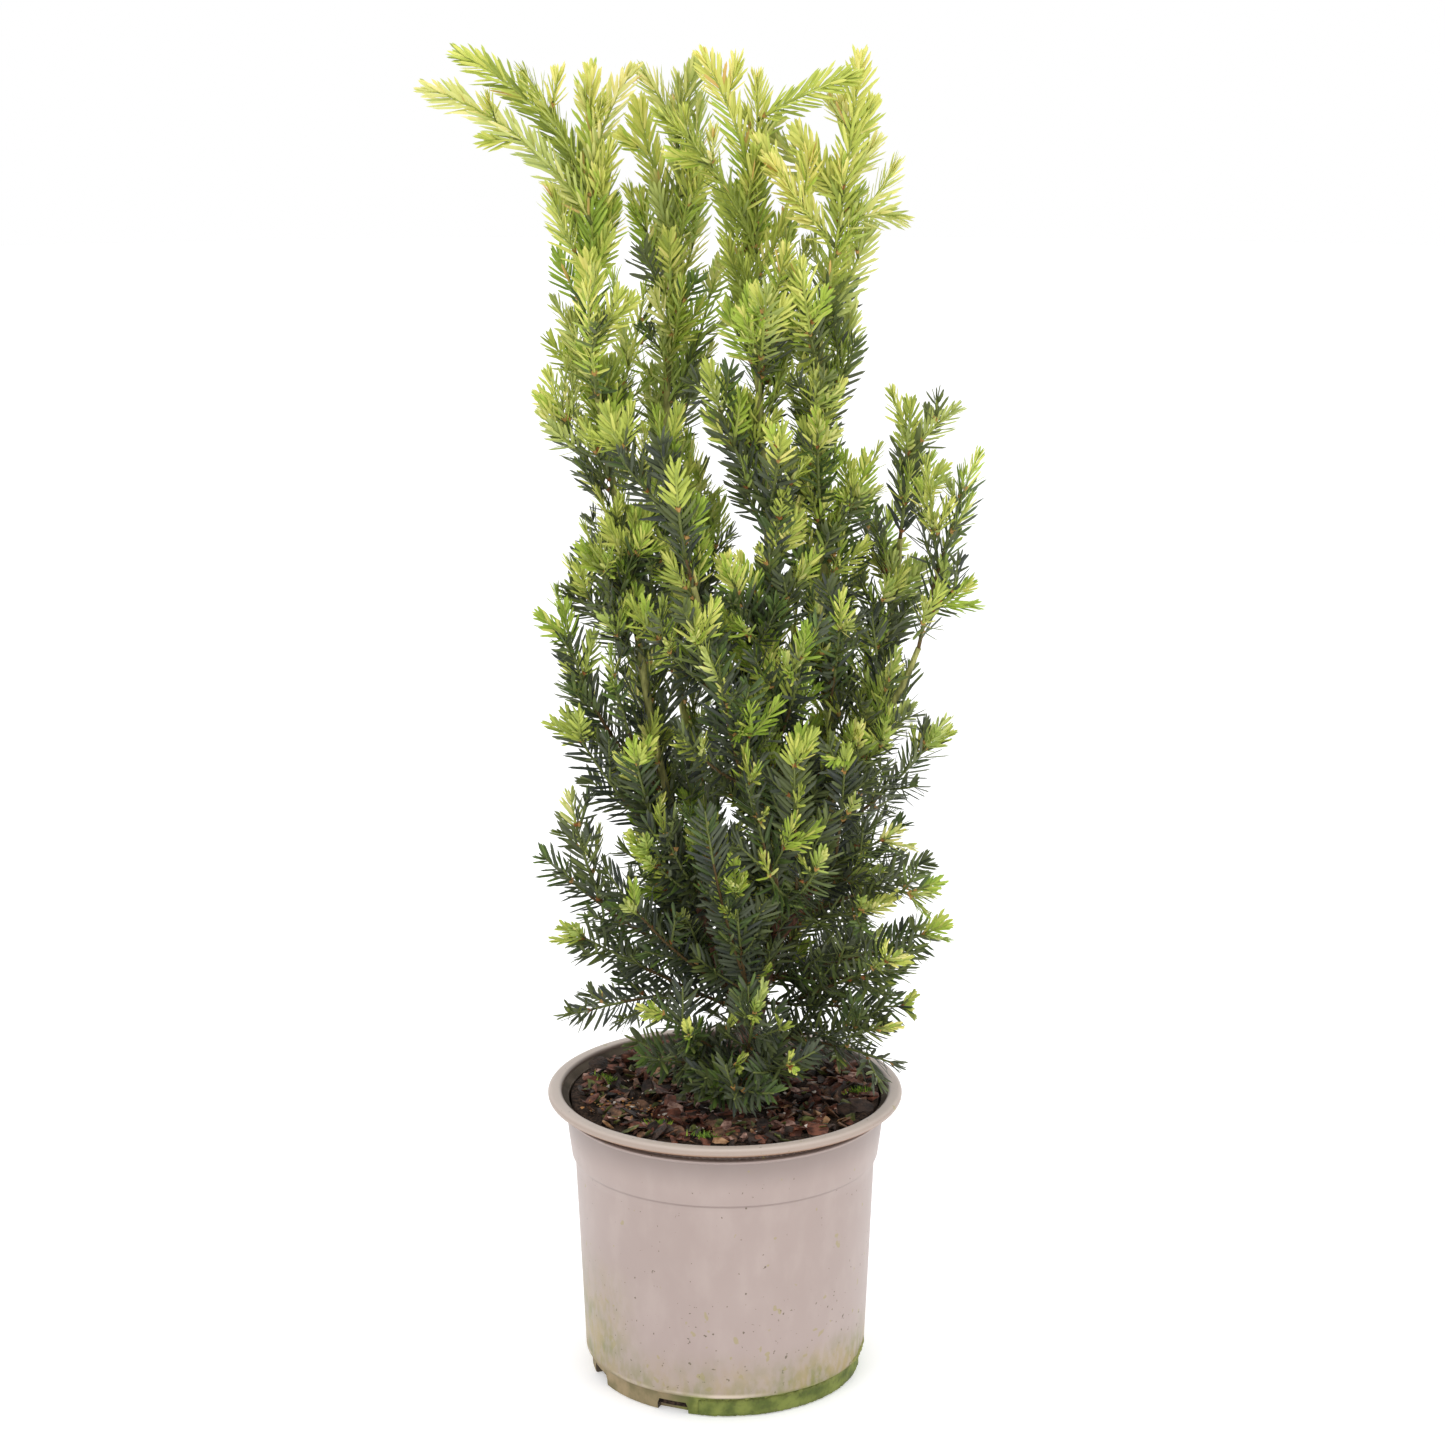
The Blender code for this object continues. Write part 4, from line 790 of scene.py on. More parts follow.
def table_shoots(name, lines, chance, fine_chance):
    """A shoot of the table with the source's twigs and the finer ones on it."""
    parent, along, _, _, reach, _ = SHOOTS[name]
    line = lines[name]
    bare = BARE_ROOT
    if parent in LIMBS and along is not TIP:
        bare += float(limb_radius(parent, lines[parent], along * CM))
    count = round(reach / TWIG_EVERY_CM) if reach >= TWIG_LEAST_REACH_CM else 0
    twigs = twigs_along(line, count, TWIG_FIRST, TWIG_LAST, TWIG_REACH_CM, chance)
    twigs += fine_twigs(line, fine_chance)
    shoot = Shoot(line, fine_chance, STEM_ROOT_MM, bare=bare, new_chance=SHOOT_NEW_CHANCE)
    return [shoot] + [Shoot(twig, fine_chance) for twig in twigs]


def limb_shoots(name, line, chance):
    """Shoots straight off a limb, longer on its lower part, with fine twigs on the long ones."""
    covered = 1 - LIMB_TWIG_FIRST
    count = int(line.length / CM * covered / LIMB_TWIG_EVERY_CM)
    shoots = []
    for number in range(count):
        first = LIMB_TWIG_FIRST + covered * number / count
        height = line.at(first * line.length)[2]
        if height > LIMB_TWIGS_END.get(name, LIMB_TWIGS_TO):
            break
        share = np.interp(height, (LOW_TWIGS_TO, HIGH_TWIGS_FROM), (0, 1))
        reach_cm = [low + (high - low) * share for low, high in zip(LOW_TWIG_REACH_CM, HIGH_TWIG_REACH_CM)]
        twig = twigs_along(line, 1, first, first + covered / count, reach_cm, chance, rise=RISE)[0]
        bare = float(limb_radius(name, line, first * line.length)) + BARE_ROOT
        shoots.append(Shoot(twig, chance, bare=bare))
        shoots += [Shoot(fine, chance) for fine in fine_twigs(twig, chance)]
    return shoots


def grow(lines):
    """The shoots on each limb: those of the table, the source's twigs, and finer ones between."""
    shoots = {name: [] for name in LIMBS}
    for mass, names in masses().items():
        chance = random.Random(f"{TWIG_SEED} {mass}")
        fine_chance = random.Random(f"fine {mass}")
        for name in names:
            shoots[SHOOTS[mass][0]] += table_shoots(name, lines, chance, fine_chance)
    for name in LIMBS:
        chance = random.Random(f"limb {name}")
        shoots[name] += limb_shoots(name, lines[name], chance)
        shoots[name] += [fork for shoot in shoots[name] for fork in forks(shoot, chance)]
    skeleton = np.vstack([line.points[::4] for line in lines.values()])
    return {name: [shoot for shoot in group if fits(shoot, skeleton)] for name, group in shoots.items()}


def fits(shoot, skeleton):
    """Shorten a shoot to end near the source's lines; False if too little is left or it isn't clear."""
    line = shoot.line
    while (np.min(np.linalg.norm(skeleton - line.points[-1], axis=1))
           > np.interp(line.points[-1][2], STRAY_HEIGHTS, STRAY)):
        kept = round(len(line.points) * STRAY_SHORTENING)
        line = Line(line.points[:kept])
        if line.length < LEAST_TWIG:
            return False
    shoot.line = line
    shoot.new_reach = min(shoot.new_reach, line.length)
    return keeps_clear(line)


def keeps_clear(line):
    """Whether a shoot stays above the soil and inside the pot's rim, or over it."""
    points = line.points[ROOT_POINTS:]
    radial = np.hypot(points[:, 0], points[:, 1])
    in_soil = points[:, 2] < SOIL_TOP + SHOOT_ABOVE_SOIL
    in_wall = (points[:, 2] < RIM_TOP + SHOOT_ABOVE_RIM) & (radial > COLLAR_RADIUS_TOP - SHOOT_FROM_COLLAR)
    return not (in_soil | in_wall).any()


def spaced(start, end, new_start, dice, is_plume=False):
    """Distances at which needles stand, closer together on the new growth."""
    new_spacing = PLUME_SPACING_MM if is_plume else NEW_SPACING_MM
    distances = []
    distance = end
    while distance > start:
        distances.append(distance)
        spacing = (new_spacing if distance > new_start else OLD_SPACING_MM) * MM
        if is_plume and distance > end - TIP_STRETCH:
            spacing *= PLUME_TIP_SPACING
        distance -= spacing * dice.uniform(*SPACING_JITTER)
    return np.array(distances[::-1])


def clothe(shoot, needles, dice):
    """Set needles round a shoot, from its root to its tip, and a tuft at the tip."""
    line = shoot.line
    end = line.length - STEM_END
    is_plume = line.points[-1][2] > PLUMES_FROM
    distances = spaced(shoot.bare, end, line.length - shoot.new_reach, dice, is_plume)
    if len(distances) > 1:
        set_needles(shoot, np.append(distances, [end] * TUFT_NEEDLES), needles, dice)


def clothe_leader(name, line, needles, dice):
    """Set needles on the upper part of a limb itself."""
    heights = line.at(line.marks)[:, 2]
    if heights[-1] < LEADER_NEEDLES_FROM:
        return
    _, root_mm, tip_mm, _ = LIMBS[name]
    leader = Shoot(line, random.Random(f"leader {name}"), root_mm, tip_mm)
    leader.new_reach = LEADER_NEW_REACH
    start = float(np.interp(LEADER_NEEDLES_FROM, heights, line.marks))
    distances = spaced(start, line.length, line.length - leader.new_reach, dice)
    kept = dice.random(len(distances)) < LEADER_SPARSE
    set_needles(leader, distances[kept], needles, dice)


def needle_sides(line, distances, dice):
    """The side of the shoot on which each needle stands, and the one that its spray shows."""
    headings = line.heading(distances)
    sides, others = cross_directions(line, distances)
    count = len(distances)
    turns = TWIG_TURN * np.arange(count) + dice.uniform(0, 360) + dice.normal(0, TURN_JITTER, count)
    turns = np.radians(turns)[:, None]
    outward = sides * np.cos(turns) + others * np.sin(turns)
    face = facing(line, dice)
    across = unit(face - headings * (headings @ face)[:, None])
    lift = np.sum(outward * across, axis=1)
    flatness = np.interp(line.at(distances)[:, 2], FLATNESS_HEIGHTS, FLATNESS)
    return unit(outward - across * (lift * flatness)[:, None]), across


def facing(line, dice):
    """The side that a flat spray shows: up and tilted outwards, or outwards where the shoot is steep."""
    rise = line.points[-1] - line.points[0]
    middle = line.points[len(line.points) // 2]
    outward = np.array([middle[0], middle[1] - LIGHT_PULL, 0.0])
    if rise[2] < STEEP * line.length:
        across = unit(np.cross(rise, UP))
        if line.points[0][2] > PLUMES_FROM:
            return unit(UP + across * PLUME_TILT * dice.choice((-1, 1)))
        return unit(UP + across * dice.uniform(*LEVEL_TILT) * np.sign(across @ outward))
    turn = math.atan2(outward[1], outward[0]) + math.radians(dice.normal(0, FACE_SPREAD))
    return np.array([math.cos(turn), math.sin(turn), 0.0])


def set_needles(shoot, distances, needles, dice):
    """Add a needle at each distance along a shoot, turning round it, closing in towards its tip."""
    line = shoot.line
    count = len(distances)
    places = line.at(distances)
    heights = places[:, 2]
    headings = line.heading(distances)
    outward, across = needle_sides(line, distances, dice)
    from_tip = line.length - distances
    near_tip = np.interp(from_tip, (STEM_END, STEM_END + TIP_STRETCH), (1, 0))
    is_new = distances > line.length - shoot.new_reach
    plume = np.interp(heights, PLUME_HEIGHTS, (0, 1))
    lean = np.where(is_new, NEW_LEAN - PLUME_CLOSING * plume, OLD_LEAN - OLD_RISE_LEAN * headings[:, 2] ** 2)
    tip_lean = NEW_TIP_LEAN if shoot.new_reach else OLD_TIP_LEAN
    lean = np.radians(lean + (tip_lean - lean) * near_tip + dice.normal(0, LEAN_JITTER, count))[:, None]
    way = unit(headings * np.cos(lean) + outward * np.sin(lean))
    length = np.where(is_new, np.interp(heights, HEIGHTS, NEW_LENGTH_MM), OLD_LENGTH_MM) * MM
    length *= (1 - TIP_SHORTENING * near_tip) * np.interp(distances, (0, ROOT_STRETCH), (ROOT_LENGTH, 1))
    length *= dice.uniform(*LENGTH_JITTER, count)
    width = np.where(is_new, NEW_WIDTH_MM + (PLUME_WIDTH_MM - NEW_WIDTH_MM) * plume, OLD_WIDTH_MM) * MM
    width *= dice.uniform(*WIDTH_JITTER, count)
    upper = unit(across * (1 - TIP_UPRIGHT * near_tip)[:, None] + headings * UPPER_FORWARD)
    upper = upper - way * np.sum(upper * way, axis=1, keepdims=True)
    upper = unit(upper + dice.normal(0, NEEDLE_TWIST, (count, 3)))
    bend = headings * dice.uniform(*BEND_FORWARD, (count, 1)) - UP * dice.uniform(*BEND_DOWN, (count, 1))
    base = places + outward * (shoot.radii(distances) * NEEDLE_SEAT)[:, None]
    shade = shade_of(heights, is_new, from_tip, shoot, dice)
    kept = clear_needles(base + (way + bend) * length[:, None])
    needles.append([values[kept] for values in (base, way, upper, bend, length, width, shade)])


def clear_needles(ends):
    """Which needles end above the soil and don't pass through the pot's wall or rim."""
    radial = np.hypot(ends[:, 0], ends[:, 1])
    wall_radius = COLLAR_RADIUS_TOP - WALL - NEEDLE_FROM_WALL
    in_wall = (ends[:, 2] < RIM_TOP + NEEDLE_ABOVE_RIM) & (radial > wall_radius)
    return (ends[:, 2] > SOIL_TOP + NEEDLE_ABOVE_SOIL) & ~in_wall


def shade_of(heights, is_new, from_tip, shoot, dice):
    """The number of the shade that each needle takes: by height, by age and by its spray's tint."""
    past_new = np.clip((from_tip - shoot.new_reach) / OLD_FADE, 0, 1)
    old = np.interp(heights, HEIGHTS, OLD_SHADE) + OLD_TIP_SHADE * (1 - past_new)
    new = np.interp(heights, HEIGHTS, NEW_SHADE) - np.interp(from_tip, NEW_FADE, (0, NEW_FADE_SHADE))
    level = np.where(is_new, new, old) + shoot.tint + dice.normal(0, SHADE_JITTER, len(heights))
    shade = np.clip(np.rint(level), 0, AMBER - 1).astype(int)
    if dice.random() < np.interp(heights.mean(), HEIGHTS, FRESH_CHANCE):
        shade = np.where((shade >= MOSS) & (shade <= BRIGHT), shade + FRESH_MOSS - MOSS, shade)
    amber = (heights > AMBER_HEIGHT) & (dice.random(len(heights)) < AMBER_CHANCE)
    return np.where(amber, AMBER, shade)


def needle_vertices(base, way, upper, bend, length, width):
    """The corners of every needle: rings of three round its bent middle line, and the tip."""
    corners = []
    size = length[:, None]
    for share, width_share in NEEDLE_OUTLINE:
        middle = base + size * (way * share + bend * share**2)
        along = unit(way + 2 * share * bend)
        side = unit(np.cross(along, upper))
        normal = np.cross(side, along)
        half = (width * width_share / 2)[:, None]
        rolled = normal * half * NEEDLE_ROLL
        corners.append(middle - side * half - rolled)
        corners.append(middle + normal * half * NEEDLE_RIDGE)
        corners.append(middle + side * half - rolled)
    corners.append(base + size * (way + bend))
    return np.stack(corners, axis=1)


def needle_faces():
    """The faces of one needle, each with 0 for its upper side or 1 for its flat lower side."""
    rings = len(NEEDLE_OUTLINE)
    *walls, foot, _ = tube_faces(rings, 3)
    tip = 3 * rings
    point = [(tip - 3, tip - 2, tip), (tip - 2, tip - 1, tip), (tip - 1, tip - 3, tip)]
    return [(foot, 1)] + [(face, int(number % 3 == 2)) for number, face in enumerate(walls + point)]


def needle_materials(slot):
    """The shades of one slot: their numbers, and a material for the two sides of each."""
    numbers = [number for number, (*_, age) in enumerate(SHADES) if age == slot]
    materials = []
    for number in numbers:
        name, above, below, _ = SHADES[number]
        materials.append(plain_material(f"needle_{name}_above", above, ABOVE_ROUGHNESS, NEEDLE_GLOSS[slot]))
        materials.append(plain_material(f"needle_{name}_below", below, BELOW_ROUGHNESS))
    return numbers, materials


def make_needles(limb, needles, mass_names):
    """The needles on a limb, as one piece of old and one of young needles."""
    *shape, shade = [np.concatenate(column) for column in zip(*needles)]
    pattern = needle_faces()
    sides = np.array([side for _, side in pattern])
    for slot in NEEDLE_GLOSS:
        numbers, materials = needle_materials(slot)
        rows = np.isin(shade, numbers)
        if not rows.any():
            continue
        corners = needle_vertices(*[values[rows] for values in shape])
        each = corners.shape[1]
        faces = [tuple(index + start for index in face)
                 for start in range(0, len(corners) * each, each) for face, _ in pattern]
        slots = 2 * np.searchsorted(numbers, shade[rows])[:, None] + sides[None, :]
        age = slot.removesuffix("_foliage")
        piece = mesh_object(f"{limb}_{age}_needles", corners.reshape(-1, 3), faces, materials, slots.ravel())
        piece.data.shade_smooth()
        piece.data.set_sharp_from_angle(angle=SHARP_NEEDLE)
        finish_piece(piece, slot, *mass_names)


class Heap:
    """Shapes to be joined into one mesh, each face with the number of its material."""

    def __init__(self):
        self.vertices = []
        self.faces = []
        self.slots = []

    def add(self, shape, slots):
        """Add a shape, as vertices and faces; slots is one number, or one for each face."""
        vertices, faces = shape
        start = len(self.vertices)
        self.vertices.extend(tuple(vertex) for vertex in vertices)
        self.faces.extend(tuple(index + start for index in face) for face in faces)
        self.slots.extend([slots] * len(faces) if isinstance(slots, int) else slots)

    def joined(self, name, materials):
        """One object of all the shapes."""
        return mesh_object(name, self.vertices, self.faces, materials, self.slots)


def tube_faces(rings, sides):
    """The faces of a closed tube, ring by ring, with its two ends last."""
    faces = []
    for ring in range(rings - 1):
        for number in range(sides):
            here = ring * sides + number
            following = ring * sides + (number + 1) % sides
            faces.append((here, following, following + sides, here + sides))
    faces.append(tuple(range(sides))[::-1])
    faces.append(tuple(range((rings - 1) * sides, rings * sides)))
    return faces


def tube(centres, sides_across, others, radii, sides, turn=0.0):
    """The vertices and faces of a closed tube; radii has a value for each ring, or for each vertex."""
    angles = np.linspace(0, 2 * math.pi, sides, endpoint=False) + turn
    radii = np.broadcast_to(np.asarray(radii).reshape(len(centres), -1), (len(centres), sides))
    offsets = (sides_across[:, None, :] * np.cos(angles)[None, :, None]
               + others[:, None, :] * np.sin(angles)[None, :, None])
    rings = centres[:, None, :] + offsets * radii[:, :, None]
    return rings.reshape(-1, 3), tube_faces(len(centres), sides)


def make_twigs(limb, shoots, mass_names):
    """The stems of a limb's shoots, green where they are young and brown where they are old."""
    heap = Heap()
    for shoot in shoots:
        line = shoot.line
        end = line.length - STEM_SHORT
        distances = np.linspace(0.0, end, max(3, round(end / STEM_STEP)))
        places = line.at(distances)
        shape = tube(places, *cross_directions(line, distances), shoot.radii(distances), STEM_SIDES)
        ages = line.length - distances[:-1] - shoot.new_reach
        is_green = (ages < GREEN_STEM_REACH) | (places[:-1, 2] > GREEN_STEMS_FROM)
        ring_slots = [int(slot) for slot in np.where(ages < 0, 0, np.where(is_green, 1, 2))]
        slots = [slot for slot in ring_slots for _ in range(STEM_SIDES)]
        heap.add(shape, slots + [ring_slots[0], ring_slots[-1]])
    piece = heap.joined(f"{limb}_twigs", [plain_material(*paint) for paint in STEM_PAINTS])
    piece.data.shade_smooth()
    finish_piece(piece, "bark", *mass_names)


def make_bud_scales(shoots):
    """Orange-brown scales round the foot of each new growth, and buds in some of the axils."""
    heap = Heap()
    dice = random.Random("scales")
    for shoot in shoots:
        line = shoot.line
        places = []
        if 0 < shoot.new_reach < line.length - SCALES_FROM_ROOT:
            places.append(line.length - shoot.new_reach)
        if dice.random() < AXIL_BUD_CHANCE:
            places.append(min(shoot.bare, line.length / 3))
        for place in places:
            add_scales(heap, line, place, dice)
    finish_piece(heap.joined("bud_scales", [plain_material(*paint) for paint in SCALE_PAINTS]), "bark")


def add_scales(heap, line, place, dice):
    """One whorl of pointed scales that stand a little off the stem."""
    reach = dice.uniform(*SCALE_REACH_MM) * MM
    radius = dice.uniform(*SCALE_RADIUS_MM) * MM
    distances = np.array([place, place + reach])
    points = len(SCALE_FLARE)
    radii = radius * np.array([[SCALE_FOOT] * points, SCALE_FLARE])
    shape = tube(line.at(distances), *cross_directions(line, distances), radii, points,
                 dice.uniform(*SCALE_TURN))
    heap.add(shape, dice.choice((0, 0, 1)))


def bark_relief(name, distances, heights):
    """How far the bark stands out at each vertex, as a share of the radius."""
    relief = np.zeros((len(distances), BARK_SIDES))
    for ring, (distance, height) in enumerate(zip(distances, heights)):
        young = float(np.interp(height, YOUNG_WOOD_HEIGHTS, (0, 1)))
        for number in range(BARK_SIDES):
            angle = 2 * math.pi * number / BARK_SIDES
            around = Vector((math.cos(angle), math.sin(angle), 0)) * PLATE_SCALE_AROUND
            plate = noise.noise(around + Vector((0, 0, distance * PLATE_SCALE_ALONG)))
            flake = noise.noise(around * FLAKE_SCALE_AROUND + Vector((7, 3, distance * FLAKE_SCALE_ALONG)))
            ridge = math.cos(RIDGES * angle + distance * RIDGE_TWIST)
            old = PLATE_RELIEF * plate + FLAKE_RELIEF * flake
            relief[ring][number] = old * (1 - YOUNG_SMOOTHNESS * young) + RIDGE_RELIEF * ridge * young
    if name == TRUNK:
        for number in range(BARK_SIDES):
            relief[:FLARE_RINGS, number] += FLARE_RELIEF * noise.noise(Vector((number * FLARE_STEP, 0, 4)))
    return relief


def limb_radius(name, line, distances):
    """The taper of a limb, with the root flare at the foot of the trunk."""
    _, root_mm, tip_mm, _ = LIMBS[name]
    radius = (root_mm + (tip_mm - root_mm) * (distances / line.length) ** TAPER_POWER) * MM
    if name == TRUNK:
        radius = radius * (1 + FLARE * np.exp(-distances / FLARE_HEIGHT))
    return radius


def make_limb(name, line, bark):
    """A limb with its bark in relief: long flaking plates low down, ridges on the young wood above."""
    distances = np.linspace(0.0, line.length, round(line.length / BARK_STEP) + 1)
    centres = line.at(distances)
    radii = limb_radius(name, line, distances)
    for parent, along, *_ in SHOOTS.values():
        if parent == name and along is not TIP:
            radii = radii * (1 + KNOT_SWELL * np.exp(-((distances - along * CM) / KNOT_REACH) ** 2))
    radii = radii[:, None] * (1 + bark_relief(name, distances, centres[:, 2]))
    vertices, faces = tube(centres, *cross_directions(line, distances), radii, BARK_SIDES)
    if name == TRUNK:
        vertices[:BARK_SIDES, 2] = SOIL_TOP
    piece = mesh_object(f"{name}_bark", vertices, faces, [bark])
    piece.data.shade_smooth()
    finish_piece(piece, "bark", name)


def arc(middle, radius, start, end, steps):
    """Places at even steps on an arc from one angle to another."""
    turns = [math.radians(start + (end - start) * step / steps) for step in range(steps + 1)]
    return [(middle[0] + radius * math.cos(turn), middle[1] + radius * math.sin(turn)) for turn in turns]


def pot_profile():
    """The pot's outline: up the outside, over the rounded lip and down the inside."""
    under = RIM_TOP - RIM_DEPTH
    ring_foot = RECESS_FOOT - RING_HEIGHT
    outside = [
        (0.0, 0.0),
        (FOOT_RADIUS - 1.5 * EDGE, 0.0),
        (FOOT_RADIUS - 0.4 * EDGE, 0.5 * EDGE),
        (FOOT_RADIUS, 1.5 * EDGE),
        (FOOT_RADIUS + EDGE, LEDGE_HEIGHT - 1.4 * EDGE),
        (WALL_RADIUS_FOOT - EDGE, LEDGE_HEIGHT - 0.6 * EDGE),
        (WALL_RADIUS_FOOT, LEDGE_HEIGHT + 0.2 * EDGE),
        (WALL_RADIUS_FOOT + 0.05 * EDGE, LEDGE_HEIGHT + 1.5 * EDGE),
    ]
    for step in range(1, WALL_STEPS):
        share = step / WALL_STEPS
        height = LEDGE_HEIGHT + (COLLAR_FOOT - 2 * EDGE - LEDGE_HEIGHT) * share
        outside.append((WALL_RADIUS_FOOT + (WALL_RADIUS_TOP - WALL_RADIUS_FOOT) * share, height))
    outside += [
        (WALL_RADIUS_TOP, COLLAR_FOOT - 1.5 * EDGE),
        (WALL_RADIUS_TOP + 0.5 * EDGE, COLLAR_FOOT - 0.8 * EDGE),
        (COLLAR_RADIUS_FOOT - 0.5 * EDGE, COLLAR_FOOT + 0.4 * EDGE),
        (COLLAR_RADIUS_FOOT, COLLAR_FOOT + 1.6 * EDGE),
        ((COLLAR_RADIUS_FOOT + COLLAR_RADIUS_TOP) / 2, (COLLAR_FOOT + ring_foot) / 2),
        (COLLAR_RADIUS_TOP - 0.3 * EDGE, ring_foot - 0.5 * EDGE),
        (COLLAR_RADIUS_TOP + 0.3 * EDGE, ring_foot),
        (RING_RADIUS, ring_foot + 0.6 * EDGE),
        (RING_RADIUS, RECESS_FOOT - 0.6 * EDGE),
        (RING_RADIUS - 0.7 * EDGE, RECESS_FOOT),
        (RECESS_RADIUS, RECESS_FOOT + 0.3 * EDGE),
        (RECESS_RADIUS, under - 0.3 * EDGE),
        (RECESS_RADIUS + EDGE, under),
        (RIM_RADIUS - 2.2 * EDGE, under),
    ]
    outer, inner = LIP_ROUND_OUTSIDE, LIP_ROUND_INSIDE
    lip = arc((RIM_RADIUS - outer, RIM_TOP - outer), outer, -80, 90, 8)
    lip += arc((RIM_RADIUS - RIM_WIDTH + inner, RIM_TOP - inner), inner, 90, 180, 6)[1:]
    inside = [
        (COLLAR_RADIUS_TOP - WALL, under - 0.5 * EDGE),
        (COLLAR_RADIUS_FOOT - WALL, COLLAR_FOOT + EDGE),
        (WALL_RADIUS_TOP - WALL, COLLAR_FOOT - EDGE),
        (FOOT_RADIUS - WALL, FLOOR + EDGE),
        (FOOT_RADIUS - WALL - EDGE, FLOOR),
        (0.0, FLOOR),
    ]
    return outside, lip, inside


def shape_wall(vertices):
    """Raise the ribs in the pot's recess, and let its wall wander a little, as soft plastic does."""
    for number, vertex in enumerate(vertices):
        in_recess = abs(math.hypot(vertex[0], vertex[1]) - RECESS_RADIUS) < 0.1 * MM
        if in_recess and vertex[2] > RECESS_FOOT and number % RIB_EVERY == 0:
            vertex[:2] *= (RECESS_RADIUS + RIB_PROUD) / RECESS_RADIUS
        if BULGE_HEIGHTS[0] < vertex[2] < BULGE_HEIGHTS[1]:
            angle = math.atan2(vertex[1], vertex[0])
            way = Vector((math.cos(angle), math.sin(angle), 0)) * BULGE_SCALE_AROUND
            bulge = noise.noise(way + Vector((0, 0, vertex[2] * BULGE_SCALE_UP)))
            vertex[:2] *= 1 - BULGE * (bulge + 0.5)


def cut_notches(pot):
    """Cut the drainage notches into the pot's foot."""
    cutters = bpy.data.collections.new("notch_cutters")
    bpy.context.scene.collection.children.link(cutters)
    for number in range(NOTCH_COUNT):
        angle = 2 * math.pi * (number + 0.5) / NOTCH_COUNT + math.pi / 2
        cutter = mesh_object("notch_cutter", *hull_of(notch_corners(angle)), [])
        bpy.context.scene.collection.objects.unlink(cutter)
        cutters.objects.link(cutter)
    modifier = pot.modifiers.new("notches", "BOOLEAN")
    modifier.operation = "DIFFERENCE"
    modifier.operand_type = "COLLECTION"
    modifier.collection = cutters
    modifier.solver = "EXACT"
    graph = bpy.context.evaluated_depsgraph_get()
    shaped = bpy.data.meshes.new_from_object(pot.evaluated_get(graph))
    pot.modifiers.clear()
    pot.data = shaped
    for cutter in list(cutters.objects):
        bpy.data.objects.remove(cutter, do_unlink=True)
    bpy.data.collections.remove(cutters)


def turned(profile, sides):
    """The vertices and faces of a closed shape turned about the vertical axis."""
    angles = np.linspace(0, 2 * math.pi, sides, endpoint=False)
    rings = profile[1:-1]
    vertices = [(radius * math.cos(angle), radius * math.sin(angle), height)
                for radius, height in rings for angle in angles]
    vertices += [(0.0, 0.0, profile[0][1]), (0.0, 0.0, profile[-1][1])]
    faces = tube_faces(len(rings), sides)[:-2]
    bottom = len(vertices) - 2
    last = bottom - sides
    for number in range(sides):
        following = (number + 1) % sides
        faces.append((following, number, bottom))
        faces.append((last + number, last + following, bottom + 1))
    return np.array(vertices), faces


def notch_corners(angle):
    """The corners of the block that cuts a drainage notch into the pot's foot."""
    turn = Matrix.Rotation(angle, 3, "Z")
    corners = []
    for reach in (-NOTCH_REACH / 2, NOTCH_REACH / 2):
        for half, height in NOTCH_OUTLINE:
            for side in (-half, half):
                corner = Vector((FOOT_RADIUS + reach, side * NOTCH_WIDTH / 2, height * NOTCH_HEIGHT))
                corners.append(turn @ corner)
    return corners


def make_pot():
    """The nursery pot with its lip, ribbed recess, ring, collar, ledge and drainage notches."""
    outside, lip, inside = pot_profile()
    vertices, faces = turned(outside + lip + inside, POT_SIDES)
    shape_wall(vertices)
    pot = mesh_object("nursery_pot", vertices, faces, [pot_material(), pot_inside_material()])
    cut_notches(pot)
    # Inner faces below the lip's top take the dark inside material, which holds stains and painted shade.
    for polygon in pot.data.polygons:
        centre = polygon.center
        inward = polygon.normal.x * centre.x + polygon.normal.y * centre.y < 0
        polygon.material_index = int(inward and centre.z < RIM_TOP - LIP_TOP_DEPTH)
    pot.data.shade_smooth()
    pot.data.set_sharp_from_angle(angle=SHARP_POT)
    finish_piece(pot, "pot_plastic", "pot")


def crust_ring(angle, share):
    """The outline of the crust at an angle, up its inner side and down its outer side."""
    way = Vector((math.cos(angle), math.sin(angle), 0.0)) * CRUST_SCALE
    ragged = noise.noise(way) + 0.5 * noise.noise(way * CRUST_FINER)
    peak = max(0.0, share - CRUST_PEAK_FROM) / (1 - CRUST_PEAK_FROM)
    top = CRUST_TOP + CRUST_RISE * share + CRUST_RAGGED * ragged + CRUST_PEAK * peak
    foot = CRUST_FOOT + CRUST_FOOT_RAGGED * abs(noise.noise(way * CRUST_FOOT_FINER))
    inner = []
    outer = []
    for level_share in CRUST_LEVELS:
        level = foot + (top - foot) * level_share
        lumps = noise.noise(way * CRUST_LUMPS_FINER + Vector((0, 0, level * CRUST_LUMPS_UP)))
        inner.append((foot_radius(level) - CRUST_DEPTH, level))
        outer.append((foot_radius(level) + CRUST_THICKNESS * (1 + CRUST_LUMPS * lumps), level))
    outer[-1] = (foot_radius(top) + CRUST_EDGE, top)
    return [(radius * math.cos(angle), radius * math.sin(angle), level)
            for radius, level in inner + outer[::-1]]


def make_crust():
    """A thin ragged growth of algae on the foot at the front right, rising towards its right end."""
    shares = np.linspace(0.0, 1.0, CRUST_STEPS)
    angles = np.radians(CRUST_FROM + (CRUST_TO - CRUST_FROM) * shares)
    rings = [crust_ring(angle, share) for angle, share in zip(angles, shares)]
    vertices = [vertex for ring in rings for vertex in ring]
    piece = mesh_object("algae_crust", vertices, tube_faces(len(rings), len(rings[0])), [crust_material()])
    piece.data.shade_smooth()
    finish_piece(piece, "pot_plastic")


